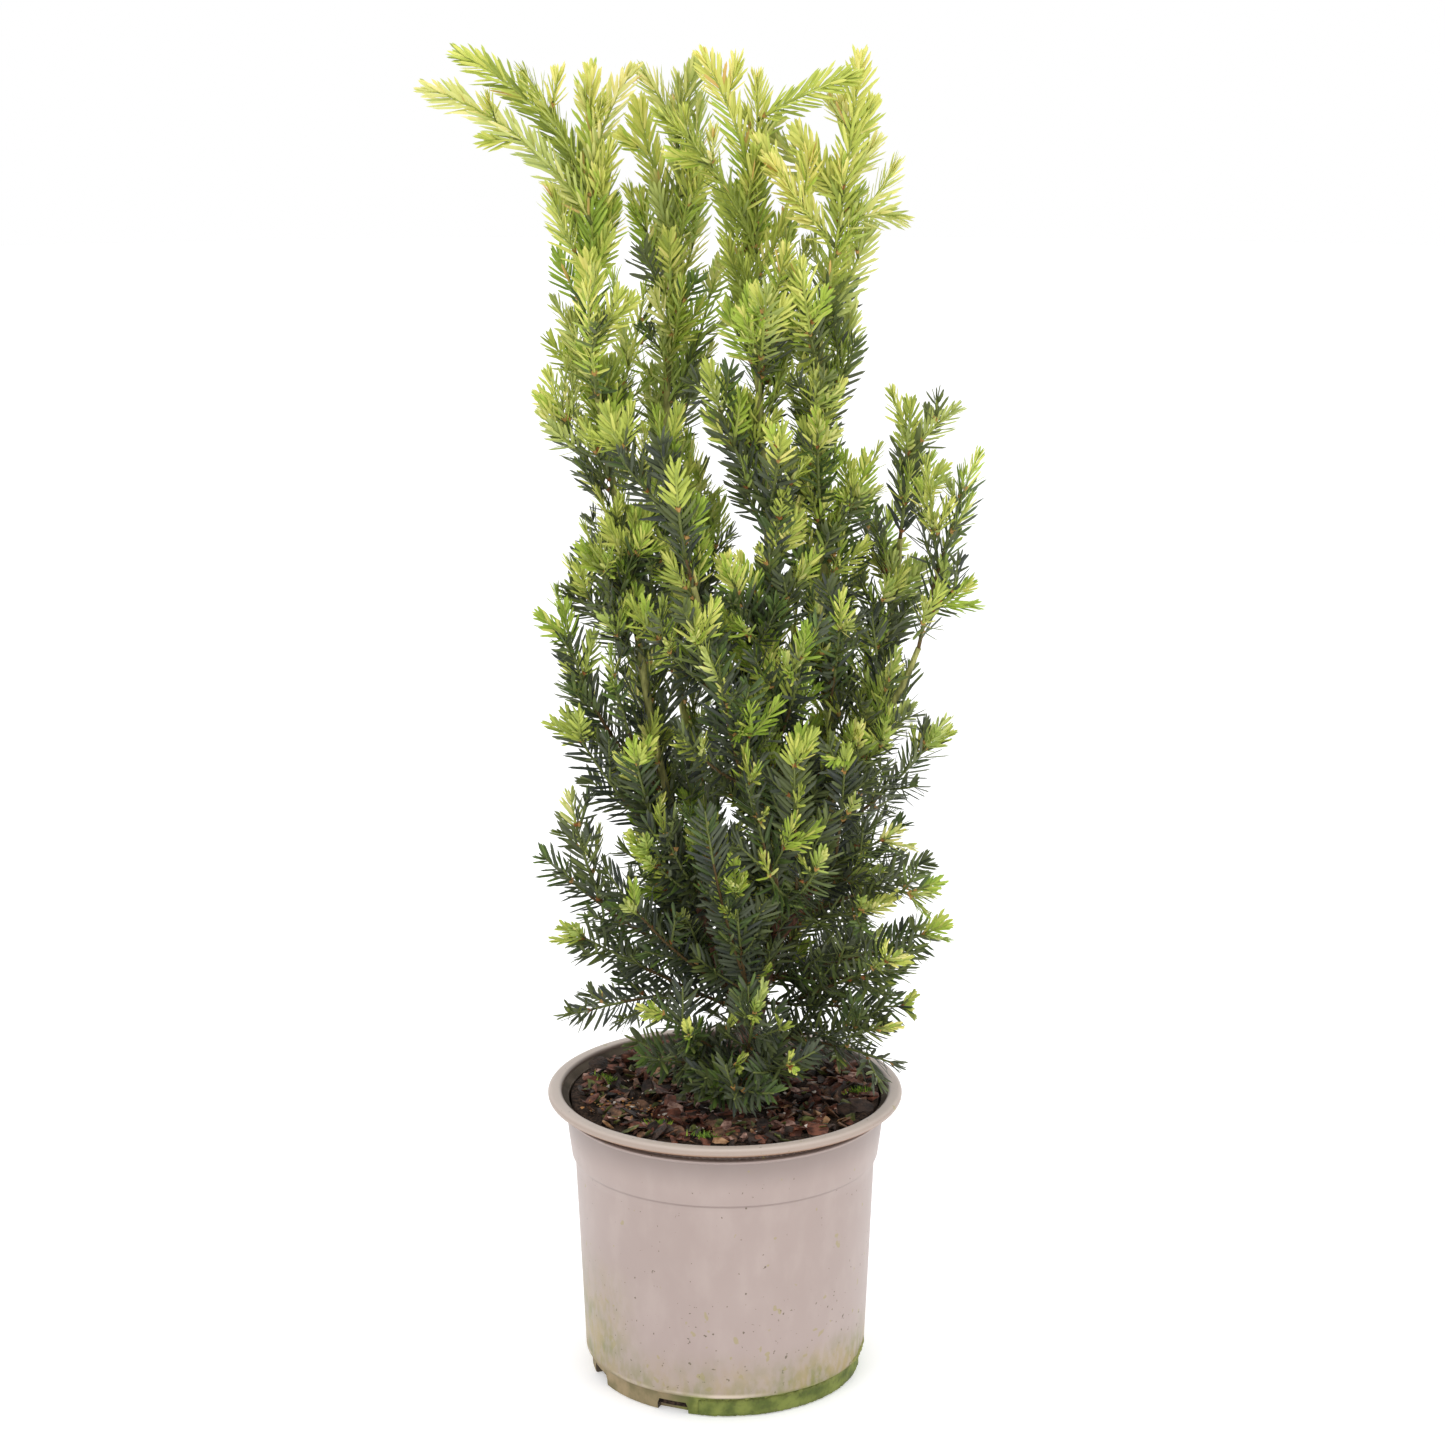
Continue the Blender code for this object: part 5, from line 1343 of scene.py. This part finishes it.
def foot_radius(height):
    """The radius of the pot's foot and lower wall at a height."""
    heights = (0.0, LEDGE_HEIGHT - 1.5 * EDGE, LEDGE_HEIGHT, LOW_WALL_HEIGHT)
    radii = (FOOT_RADIUS, FOOT_RADIUS + EDGE, WALL_RADIUS_FOOT, LOW_WALL_RADIUS)
    return float(np.interp(height, heights, radii))


def soil_radius(height):
    """How far the soil reaches from the axis at a height, just short of the pot's wall."""
    _, _, inside = pot_profile()
    radii, levels = zip(*reversed(inside[:4]))
    return float(np.interp(height, levels, radii)) - SOIL_GAP


def soil_height(x, y):
    """The height of the lumpy soil under the chips, banked up towards the wall."""
    coarse, fine = [noise.noise(Vector((x * scale, y * scale, layer))) for scale, layer in LUMP_SCALES]
    bank = SOIL_BANK * min(1.0, math.hypot(x, y) / SOIL_BANK_REACH) ** 3
    return SOIL_TOP - SOIL_DROP + SOIL_LUMPS * (coarse + 0.5 * fine) + bank


def make_soil():
    """The dark mix under the chips, as one closed body that fills the pot."""
    levels = (FLOOR + 1.5 * EDGE, COLLAR_FOOT - EDGE, COLLAR_FOOT + EDGE)
    profile = [(0.0, levels[0])] + [(soil_radius(level), level) for level in levels]
    reach = soil_radius(SOIL_TOP - SOIL_DROP)
    profile += [(reach * number / SOIL_RINGS, SOIL_TOP) for number in range(SOIL_RINGS, -1, -1)]
    vertices, faces = turned(profile, SOIL_SIDES)
    for vertex in vertices:
        if vertex[2] >= SOIL_TOP:
            vertex[2] = soil_height(vertex[0], vertex[1]) - SOIL_UNDER_CHIPS
    piece = mesh_object("potting_soil", vertices, faces, [soil_material()])
    piece.data.shade_smooth()
    finish_piece(piece, "potting_mix", "substrate")


def chip_shape(dice, length, width, thick, x, y):
    """One flake of bark that lies at a place on the soil, tilted and turned any way."""
    points = []
    for _ in range(CHIP_POINTS):
        way = Vector((dice.gauss(0, 1), dice.gauss(0, 1), dice.gauss(0, 1))).normalized()
        points.append(Vector((way.x * length / 2, way.y * width / 2, way.z * thick / 2)))
    turn = Matrix.Identity(3)
    for axis, spread in zip("XY", CHIP_TILTS):
        turn = turn @ Matrix.Rotation(math.radians(dice.gauss(0, spread)), 3, axis)
    turn = Matrix.Rotation(dice.uniform(0, 2 * math.pi), 3, "Z") @ turn
    place = Vector((x, y, soil_height(x, y) + dice.uniform(*CHIP_LAYERS_MM) * MM))
    return hull_of([turn @ point + place for point in points])


def hull_of(points):
    """The vertices and faces of the convex shape round some points."""
    builder = bmesh.new()
    for point in points:
        builder.verts.new(point)
    made = bmesh.ops.convex_hull(builder, input=builder.verts)
    unused = list({v for v in made["geom_interior"] if isinstance(v, bmesh.types.BMVert)})
    bmesh.ops.delete(builder, geom=unused, context="VERTS")
    builder.verts.index_update()
    vertices = [tuple(vertex.co) for vertex in builder.verts]
    faces = [tuple(vertex.index for vertex in face.verts) for face in builder.faces]
    builder.free()
    return vertices, faces


def make_chips():
    """Bark chips that cover the soil, lying over each other at all angles."""
    heap = Heap()
    dice = random.Random(CHIP_SEED)
    reach = soil_radius(SOIL_TOP)
    trunk_x, trunk_y, _ = LIMBS[TRUNK][3][0]
    for _ in range(CHIP_COUNT):
        length = dice.triangular(*CHIP_LENGTH_MM) * MM
        width = length * dice.uniform(*CHIP_WIDTH)
        thick = dice.uniform(*CHIP_THICKNESS_MM) * MM
        radial = (reach - length * CHIP_FROM_WALL) * dice.random() ** CHIP_CROWDING
        angle = dice.uniform(0, 2 * math.pi)
        x, y = radial * math.cos(angle), radial * math.sin(angle)
        if math.hypot(x - trunk_x * CM, y - trunk_y * CM) < CHIPS_FROM_TRUNK:
            continue
        shape = chip_shape(dice, length, width, thick, x, y)
        heap.add(shape, dice.choices(range(len(CHIP_KINDS)), [weight for weight, *_ in CHIP_KINDS])[0])
    materials = [chip_material(*paint) for _, *paint in CHIP_KINDS]
    finish_piece(heap.joined("bark_chips", materials), "potting_mix")


def make_grit():
    """Pale and orange-brown grains on the chips, half of them in one heap."""
    heap = Heap()
    dice = random.Random("grit")
    for number in range(GRIT_COUNT):
        in_heap = number % 2
        if in_heap:
            x, y = [dice.gauss(middle, GRIT_SPREAD) for middle in GRIT_PLACE]
        else:
            angle, radial = dice.uniform(0, 2 * math.pi), GRIT_REACH * math.sqrt(dice.random())
            x, y = radial * math.cos(angle), radial * math.sin(angle)
        size = dice.uniform(*GRIT_SIZE_MM) * MM
        place = Vector((x, y, soil_height(x, y) + dice.uniform(*GRIT_LAYERS_MM) * MM))
        points = [place + Vector((dice.gauss(0, size), dice.gauss(0, size), dice.gauss(0, size * GRIT_FLAT)))
                  for _ in range(GRIT_POINTS)]
        heap.add(hull_of(points), int(in_heap and dice.random() < GRIT_ORANGE_CHANCE))
    finish_piece(heap.joined("grit", [plain_material(*paint) for paint in GRIT_PAINTS]), "potting_mix")


def make_moss():
    """Small tufts of moss between the chips: many short pointed leaves round a few points."""
    heap = Heap()
    dice = random.Random("moss")
    faces = [(0, 1, 4), (1, 2, 4), (2, 3, 4), (3, 0, 4), (3, 2, 1, 0)]
    for x, y in TUFT_PLACES:
        for _ in range(TUFT_LEAVES):
            root = Vector((x + dice.gauss(0, TUFT_SPREAD[0]), y + dice.gauss(0, TUFT_SPREAD[1]), 0))
            root.z = soil_height(root.x, root.y) + TUFT_LIFT
            way = Vector((dice.gauss(0, TUFT_LEAN), dice.gauss(0, TUFT_LEAN), 1.0)).normalized()
            side = way.cross(Vector((0.3, 0.8, 0.1))).normalized() * TUFT_LEAF_WIDTH
            other = way.cross(side).normalized() * TUFT_LEAF_DEPTH
            tip = root + way * dice.uniform(*TUFT_LEAF_MM) * MM
            corners = [root - side, root + other, root + side, root - other, tip]
            heap.add((corners, faces), dice.choice((0, 0, 1)))
    finish_piece(heap.joined("moss", [plain_material(*paint) for paint in MOSS_PAINTS]), "potting_mix")


class Paint:
    """A material under construction: its base colour so far, and short ways to add its nodes."""

    def __init__(self, name, colour, roughness, gloss=0.50):
        self.material = bpy.data.materials.new(name)
        self.material.use_nodes = True
        self.tree = self.material.node_tree
        self.shader = self.tree.nodes["Principled BSDF"].inputs
        self.wire(roughness, self.shader["Roughness"])
        self.wire(gloss, self.shader["Specular IOR Level"])
        self.place = self.add("TexCoord", "Object", {})
        self.colour = colour

    def wire(self, value, socket):
        """Link an output to a socket, or set the socket to a number, a vector or a colour."""
        if isinstance(value, bpy.types.NodeSocket):
            self.tree.links.new(value, socket)
        elif socket.type == "RGBA":
            socket.default_value = (*value, 1.0)
        else:
            socket.default_value = value

    def add(self, kind, output, inputs, **settings):
        """Add a node with its settings and inputs, and give one of its outputs."""
        node = self.tree.nodes.new(f"ShaderNode{kind}")
        for name, value in settings.items():
            setattr(node, name, value)
        for name, value in inputs.items():
            self.wire(value, node.inputs[name])
        return node.outputs[output]

    def noise(self, scale, detail, stretch=(1.0, 1.0, 1.0)):
        """Noise over the object, from 0 to 1."""
        place = self.add("Mapping", "Vector", {"Vector": self.place, "Scale": stretch})
        return self.add("TexNoise", "Fac", {"Vector": place, "Scale": scale, "Detail": detail})

    def axis(self, name):
        """One coordinate of the place, in metres."""
        return self.add("SeparateXYZ", name, {"Vector": self.place})

    def calc(self, operation, first, second=0.0):
        """A sum of two values or the like."""
        return self.add("Math", "Value", {0: first, 1: second}, operation=operation)

    def times(self, first, second):
        """One value times another."""
        return self.calc("MULTIPLY", first, second)

    def spread(self, value, low, high, to_low=0.0, to_high=1.0):
        """A value brought from one range to another, held inside it."""
        inputs = {"Value": value, "From Min": low, "From Max": high, "To Min": to_low, "To Max": to_high}
        return self.add("MapRange", "Result", inputs, interpolation_type="SMOOTHSTEP")

    def band(self, value, rise, fall):
        """A share that grows as a value passes one range and shrinks as it passes the next."""
        return self.times(self.spread(value, *rise), self.spread(value, *fall))

    def clouds(self, scale, detail, low=0.35, high=0.65):
        """Noise with more of its lowest and highest values."""
        return self.spread(self.noise(scale, detail), low, high)

    def mix(self, share, first, second):
        """A blend of two colours."""
        return self.add("Mix", 2, {0: share, 6: first, 7: second}, data_type="RGBA")

    def coat(self, share, colour):
        """Lay a colour over the base colour, by a share."""
        self.colour = self.mix(share, self.colour, colour)

    def bump(self, height, strength, distance):
        """Fine relief from a height."""
        inputs = {"Height": height, "Strength": strength, "Distance": distance}
        self.wire(self.add("Bump", "Normal", inputs), self.shader["Normal"])

    def done(self):
        """Set the base colour and give the material."""
        self.wire(self.colour, self.shader["Base Color"])
        return self.material


def plain_material(name, colour, roughness, gloss=0.20):
    """A material of one colour, for the joined pieces whose colours are dealt out by spray."""
    return bpy.data.materials.get(name) or Paint(name, colour, roughness, gloss).done()


def pot_material():
    """Weathered taupe plastic: faint scuffs, specks of dirt, tan lip, algae round the foot, and painted
    shade and highlights.
    """
    paint = Paint("pot_plastic", (0.371, 0.291, 0.265), 0.40)
    height = paint.axis("Z")
    grain = paint.noise(60.0, 5.0, (1.0, 1.0, 0.5))
    ragged = paint.times(paint.noise(34.0, 6.0), 0.024)
    raised = paint.calc("SUBTRACT", height, ragged)
    paint.coat(paint.clouds(9.0, 4.0, 0.35, 0.68), (0.392, 0.311, 0.284))
    paint.coat(paint.spread(grain, 0.42, 0.80, 0.0, 0.16), (0.60, 0.51, 0.47))
    # Painted shade: a dark band along the step at the collar's foot.
    collar_step_shade = paint.band(height, (COLLAR_FOOT - 0.0022, COLLAR_FOOT - 0.0010),
                        (COLLAR_FOOT + 0.0010, COLLAR_FOOT))
    paint.coat(paint.times(collar_step_shade, 0.55), (0.210, 0.160, 0.145))
    colour_lip(paint, height)
    stain_wall(paint, height, raised)
    colour_foot(paint, height, ragged)
    paint.wire(paint.spread(raised, 0.020, -0.006, 0.40, 0.85), paint.shader["Roughness"])
    paint.bump(grain, 0.10, 0.0006)
    return paint.done()


def crust_material():
    """Soft olive-green algae, darker in the hollows."""
    paint = Paint("algae", (0.085, 0.115, 0.018), 0.85)
    fine = paint.noise(260.0, 5.0)
    paint.coat(paint.clouds(70.0, 4.0, 0.35, 0.66), (0.190, 0.225, 0.045))
    paint.coat(paint.spread(paint.axis("Z"), 0.010, 0.018, 0.0, 0.6), (0.280, 0.260, 0.080))
    paint.coat(paint.spread(fine, 0.50, 0.75, 0.0, 0.5), (0.060, 0.065, 0.018))
    paint.bump(fine, 0.5, 0.0008)
    return paint.done()


def colour_lip(paint, height):
    """Give the pot its tan lip with a brown lower edge and a painted highlight on top, painted shade on the
    collar below it, and painted shade in the recess under it.
    """
    squares = [paint.calc("POWER", paint.axis(axis), 2.0) for axis in "XY"]
    radial = paint.calc("SQRT", paint.calc("ADD", *squares))
    # Painted shade: the collar grows darker towards the ring under the lip.
    shade = paint.band(height, (RECESS_FOOT - 0.0280, RECESS_FOOT - 0.0020, 0.0, 0.72),
                       (RECESS_FOOT - 0.0022, RECESS_FOOT - 0.0030))
    paint.coat(shade, (0.240, 0.190, 0.172))
    lip = paint.spread(height, RECESS_FOOT + 0.0010, RECESS_FOOT + 0.0030)
    paint.coat(lip, (0.385, 0.305, 0.255))
    # Painted highlight: a lighter band along the top of the lip.
    top = paint.spread(height, RIM_TOP - 0.0022, RIM_TOP - 0.0004)
    paint.coat(paint.times(top, 0.80), (0.520, 0.440, 0.390))
    edge = paint.times(lip, paint.spread(height, RIM_TOP - 0.0036, RIM_TOP - 0.0058))
    paint.coat(paint.times(edge, 0.85), (0.270, 0.135, 0.065))
    # Painted shade: a dark brown colour in the recess under the lip.
    recess_shade = paint.times(paint.spread(radial, 0.1225, 0.1190),
                         paint.spread(height, RECESS_FOOT - 0.0004, RECESS_FOOT + 0.0006))
    paint.coat(recess_shade, (0.150, 0.105, 0.085))


def stain_wall(paint, height, raised):
    """Give the pot olive blots and dark specks, and stains that rise from its foot."""
    spots = paint.calc("ADD", paint.noise(105.0, 2.0), paint.spread(height, 0.15, 0.01, 0.0, 0.070))
    paint.coat(paint.spread(spots, 0.712, 0.752, 0.0, 0.60), (0.330, 0.280, 0.105))
    specks = paint.calc("ADD", paint.noise(300.0, 2.0), paint.spread(height, 0.15, 0.01, 0.0, 0.055))
    paint.coat(paint.spread(specks, 0.730, 0.760, 0.0, 0.80), (0.085, 0.066, 0.034))
    across = paint.axis("X")
    left = paint.times(paint.spread(across, -0.056, -0.096), paint.spread(raised, 0.110, 0.020))
    right = paint.times(paint.spread(across, 0.000, 0.060), paint.spread(raised, 0.044, 0.010))
    all_round = paint.spread(raised, 0.046, 0.002, 0.0, 0.68)
    stain = paint.calc("MAXIMUM", paint.calc("MAXIMUM", left, right), all_round)
    speckled = paint.spread(paint.noise(190.0, 6.0, (1.0, 1.0, 0.5)), 0.36, 0.62, 0.45, 1.0)
    olive = paint.mix(paint.clouds(40.0, 6.0), (0.345, 0.270, 0.130), (0.200, 0.200, 0.065))
    paint.coat(paint.times(stain, speckled), olive)


def colour_foot(paint, height, ragged):
    """Give the pot a painted highlight along its ledge, and a foot that is grimy at the left and green at
    the right.
    """
    across = paint.axis("X")
    # Painted highlight: a pale patchy band along the ledge, on the left side of the pot.
    ledge = paint.band(height, (LEDGE_HEIGHT - 0.0005, LEDGE_HEIGHT + 0.0010),
                       (LEDGE_HEIGHT + 0.0040, LEDGE_HEIGHT + 0.0015))
    patchy_highlight = paint.times(paint.clouds(30.0, 5.0, 0.36, 0.58), paint.spread(across, 0.040, 0.000))
    paint.coat(paint.times(paint.times(ledge, patchy_highlight), 0.9), (0.640, 0.540, 0.430))
    wavy = paint.calc("ADD", height, paint.times(ragged, 0.30))
    below = paint.spread(wavy, LEDGE_HEIGHT + 0.0060, LEDGE_HEIGHT + 0.0020)
    grime = paint.mix(paint.clouds(60.0, 5.0), (0.330, 0.250, 0.140), (0.180, 0.150, 0.070))
    green = paint.mix(paint.clouds(80.0, 5.0), (0.100, 0.125, 0.020), (0.235, 0.260, 0.055))
    side = paint.spread(paint.calc("ADD", across, ragged), -0.030, -0.012)
    paint.coat(below, paint.mix(side, grime, green))


def pot_inside_material():
    """The inner side of the pot, dull, stained by the mix and darkened by painted shade."""
    paint = Paint("pot_inside", (0.060, 0.046, 0.033), 0.7, 0.15)
    paint.coat(paint.clouds(40.0, 5.0), (0.125, 0.098, 0.072))
    return paint.done()


def soil_material():
    """Dark moist potting mix."""
    paint = Paint("potting_soil", (0.016, 0.010, 0.007), 0.95, 0.20)
    crumbs = paint.noise(420.0, 6.0)
    paint.coat(paint.spread(crumbs, 0.38, 0.66), (0.070, 0.042, 0.028))
    paint.bump(crumbs, 0.9, 0.0016)
    return paint.done()


def chip_material(name, dark, light):
    """Bark chips of one tone, with fibres and pores."""
    paint = Paint(name, dark, 0.55, 0.30)
    fibres = paint.noise(160.0, 6.0, (1.0, 1.0, 2.5))
    paint.coat(paint.spread(fibres, 0.35, 0.68), light)
    paint.bump(paint.noise(620.0, 5.0), 0.8, 0.0010)
    return paint.done()


def bark_material():
    """Thin flaking reddish-brown bark that turns to green young wood higher up."""
    paint = Paint("yew_bark", (0.075, 0.030, 0.018), 0.8)
    flakes = paint.noise(330.0, 6.0, (1.0, 1.0, 0.30))
    patches = paint.noise(60.0, 4.0, (1.0, 1.0, 0.5))
    paint.coat(paint.spread(flakes, 0.36, 0.66), (0.290, 0.130, 0.075))
    paint.coat(paint.spread(patches, 0.50, 0.70, 0.0, 0.6), (0.240, 0.190, 0.140))
    young = paint.mix(paint.spread(flakes, 0.35, 0.65), (0.200, 0.200, 0.060), (0.400, 0.390, 0.125))
    height = paint.calc("ADD", paint.axis("Z"), paint.times(patches, 0.16))
    paint.coat(paint.spread(height, 0.42, 0.56), young)
    paint.bump(flakes, 0.9, 0.0012)
    return paint.done()


def mesh_object(name, vertices, faces, materials, slots=None):
    """A new object from vertices, faces, materials and the material number of each face."""
    mesh = bpy.data.meshes.new(name)
    mesh.from_pydata([tuple(vertex) for vertex in vertices], [], faces)
    for material in materials:
        mesh.materials.append(material)
    if slots is not None:
        mesh.polygons.foreach_set("material_index", np.asarray(slots, dtype=np.int32))
    mesh.update()
    obj = bpy.data.objects.new(name, mesh)
    bpy.context.scene.collection.objects.link(obj)
    return obj


def finish_piece(piece, slot, *nodes):
    """Let a piece ride with the plant and stand for CAD nodes, which it hides; slot is not used."""
    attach(piece, "root")
    if nodes:
        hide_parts(*nodes)


def make_stage():
    """A plain white floor."""
    paint = Paint("floor_white", (0.86, 0.86, 0.87), 0.9)
    paint.wire((1.0, 1.0, 1.0), paint.shader["Emission Color"])
    paint.wire(0.30, paint.shader["Emission Strength"])
    angles = np.linspace(0, 2 * math.pi, STAGE_SIDES, endpoint=False)
    circle = [(STAGE_RADIUS * math.cos(angle), STAGE_RADIUS * math.sin(angle), -STAGE_DROP)
              for angle in angles]
    mesh_object("floor", circle, [tuple(range(STAGE_SIDES))], [paint.done()])


def add_light(name, place, size, power):
    """A large soft light that faces the plant."""
    light = bpy.data.lights.new(name, "AREA")
    light.shape = "DISK"
    light.size = size
    light.energy = power
    lamp = bpy.data.objects.new(name, light)
    lamp.location = place
    lamp.rotation_euler = (Vector(LIGHTS_AIM) - Vector(place)).to_track_quat("-Z", "Y").to_euler()
    bpy.context.scene.collection.objects.link(lamp)


def make_lights():
    """A white studio: light from all round, and soft lamps above, in front and at the sides."""
    scene = bpy.context.scene
    scene.view_settings.view_transform = "Standard"
    world = bpy.data.worlds.new("studio")
    world.use_nodes = True
    background = world.node_tree.nodes["Background"]
    background.inputs["Color"].default_value = (1.0, 1.0, 1.0, 1.0)
    background.inputs["Strength"].default_value = 1.0
    scene.world = world
    for name, place, size, power in LIGHTS:
        add_light(name, place, size, power)


def make_camera():
    """The camera at the photograph's place and angle."""
    camera = bpy.data.cameras.new("camera")
    camera.sensor_width = SENSOR_MM
    camera.lens = FOCAL_PX / IMAGE_SIDE_PX * SENSOR_MM
    holder = bpy.data.objects.new("camera", camera)
    holder.location = CAMERA_PLACE
    holder.rotation_euler = (math.radians(90 - CAMERA_DOWN), 0.0, 0.0)
    bpy.context.scene.collection.objects.link(holder)
    bpy.context.scene.camera = holder


def main():
    """Build the pot, the soil, the limbs and the foliage, then the studio round them."""
    make_camera()
    lines = shoot_lines({name: curve_through(places) for name, (*_, places) in LIMBS.items()})
    groups = grow(lines)
    dice = np.random.default_rng(NEEDLE_SEED)
    for name, shoots in groups.items():
        mass_names = [mass for mass in masses() if SHOOTS[mass][0] == name]
        needles = []
        for shoot in shoots:
            clothe(shoot, needles, dice)
        clothe_leader(name, lines[name], needles, dice)
        make_needles(name, needles, mass_names)
        make_twigs(name, shoots, mass_names)
    make_bud_scales([shoot for shoots in groups.values() for shoot in shoots])
    bark = bark_material()
    for name in LIMBS:
        make_limb(name, lines[name], bark)
    make_pot()
    make_crust()
    make_soil()
    make_chips()
    make_grit()
    make_moss()
    make_stage()
    make_lights()


main()
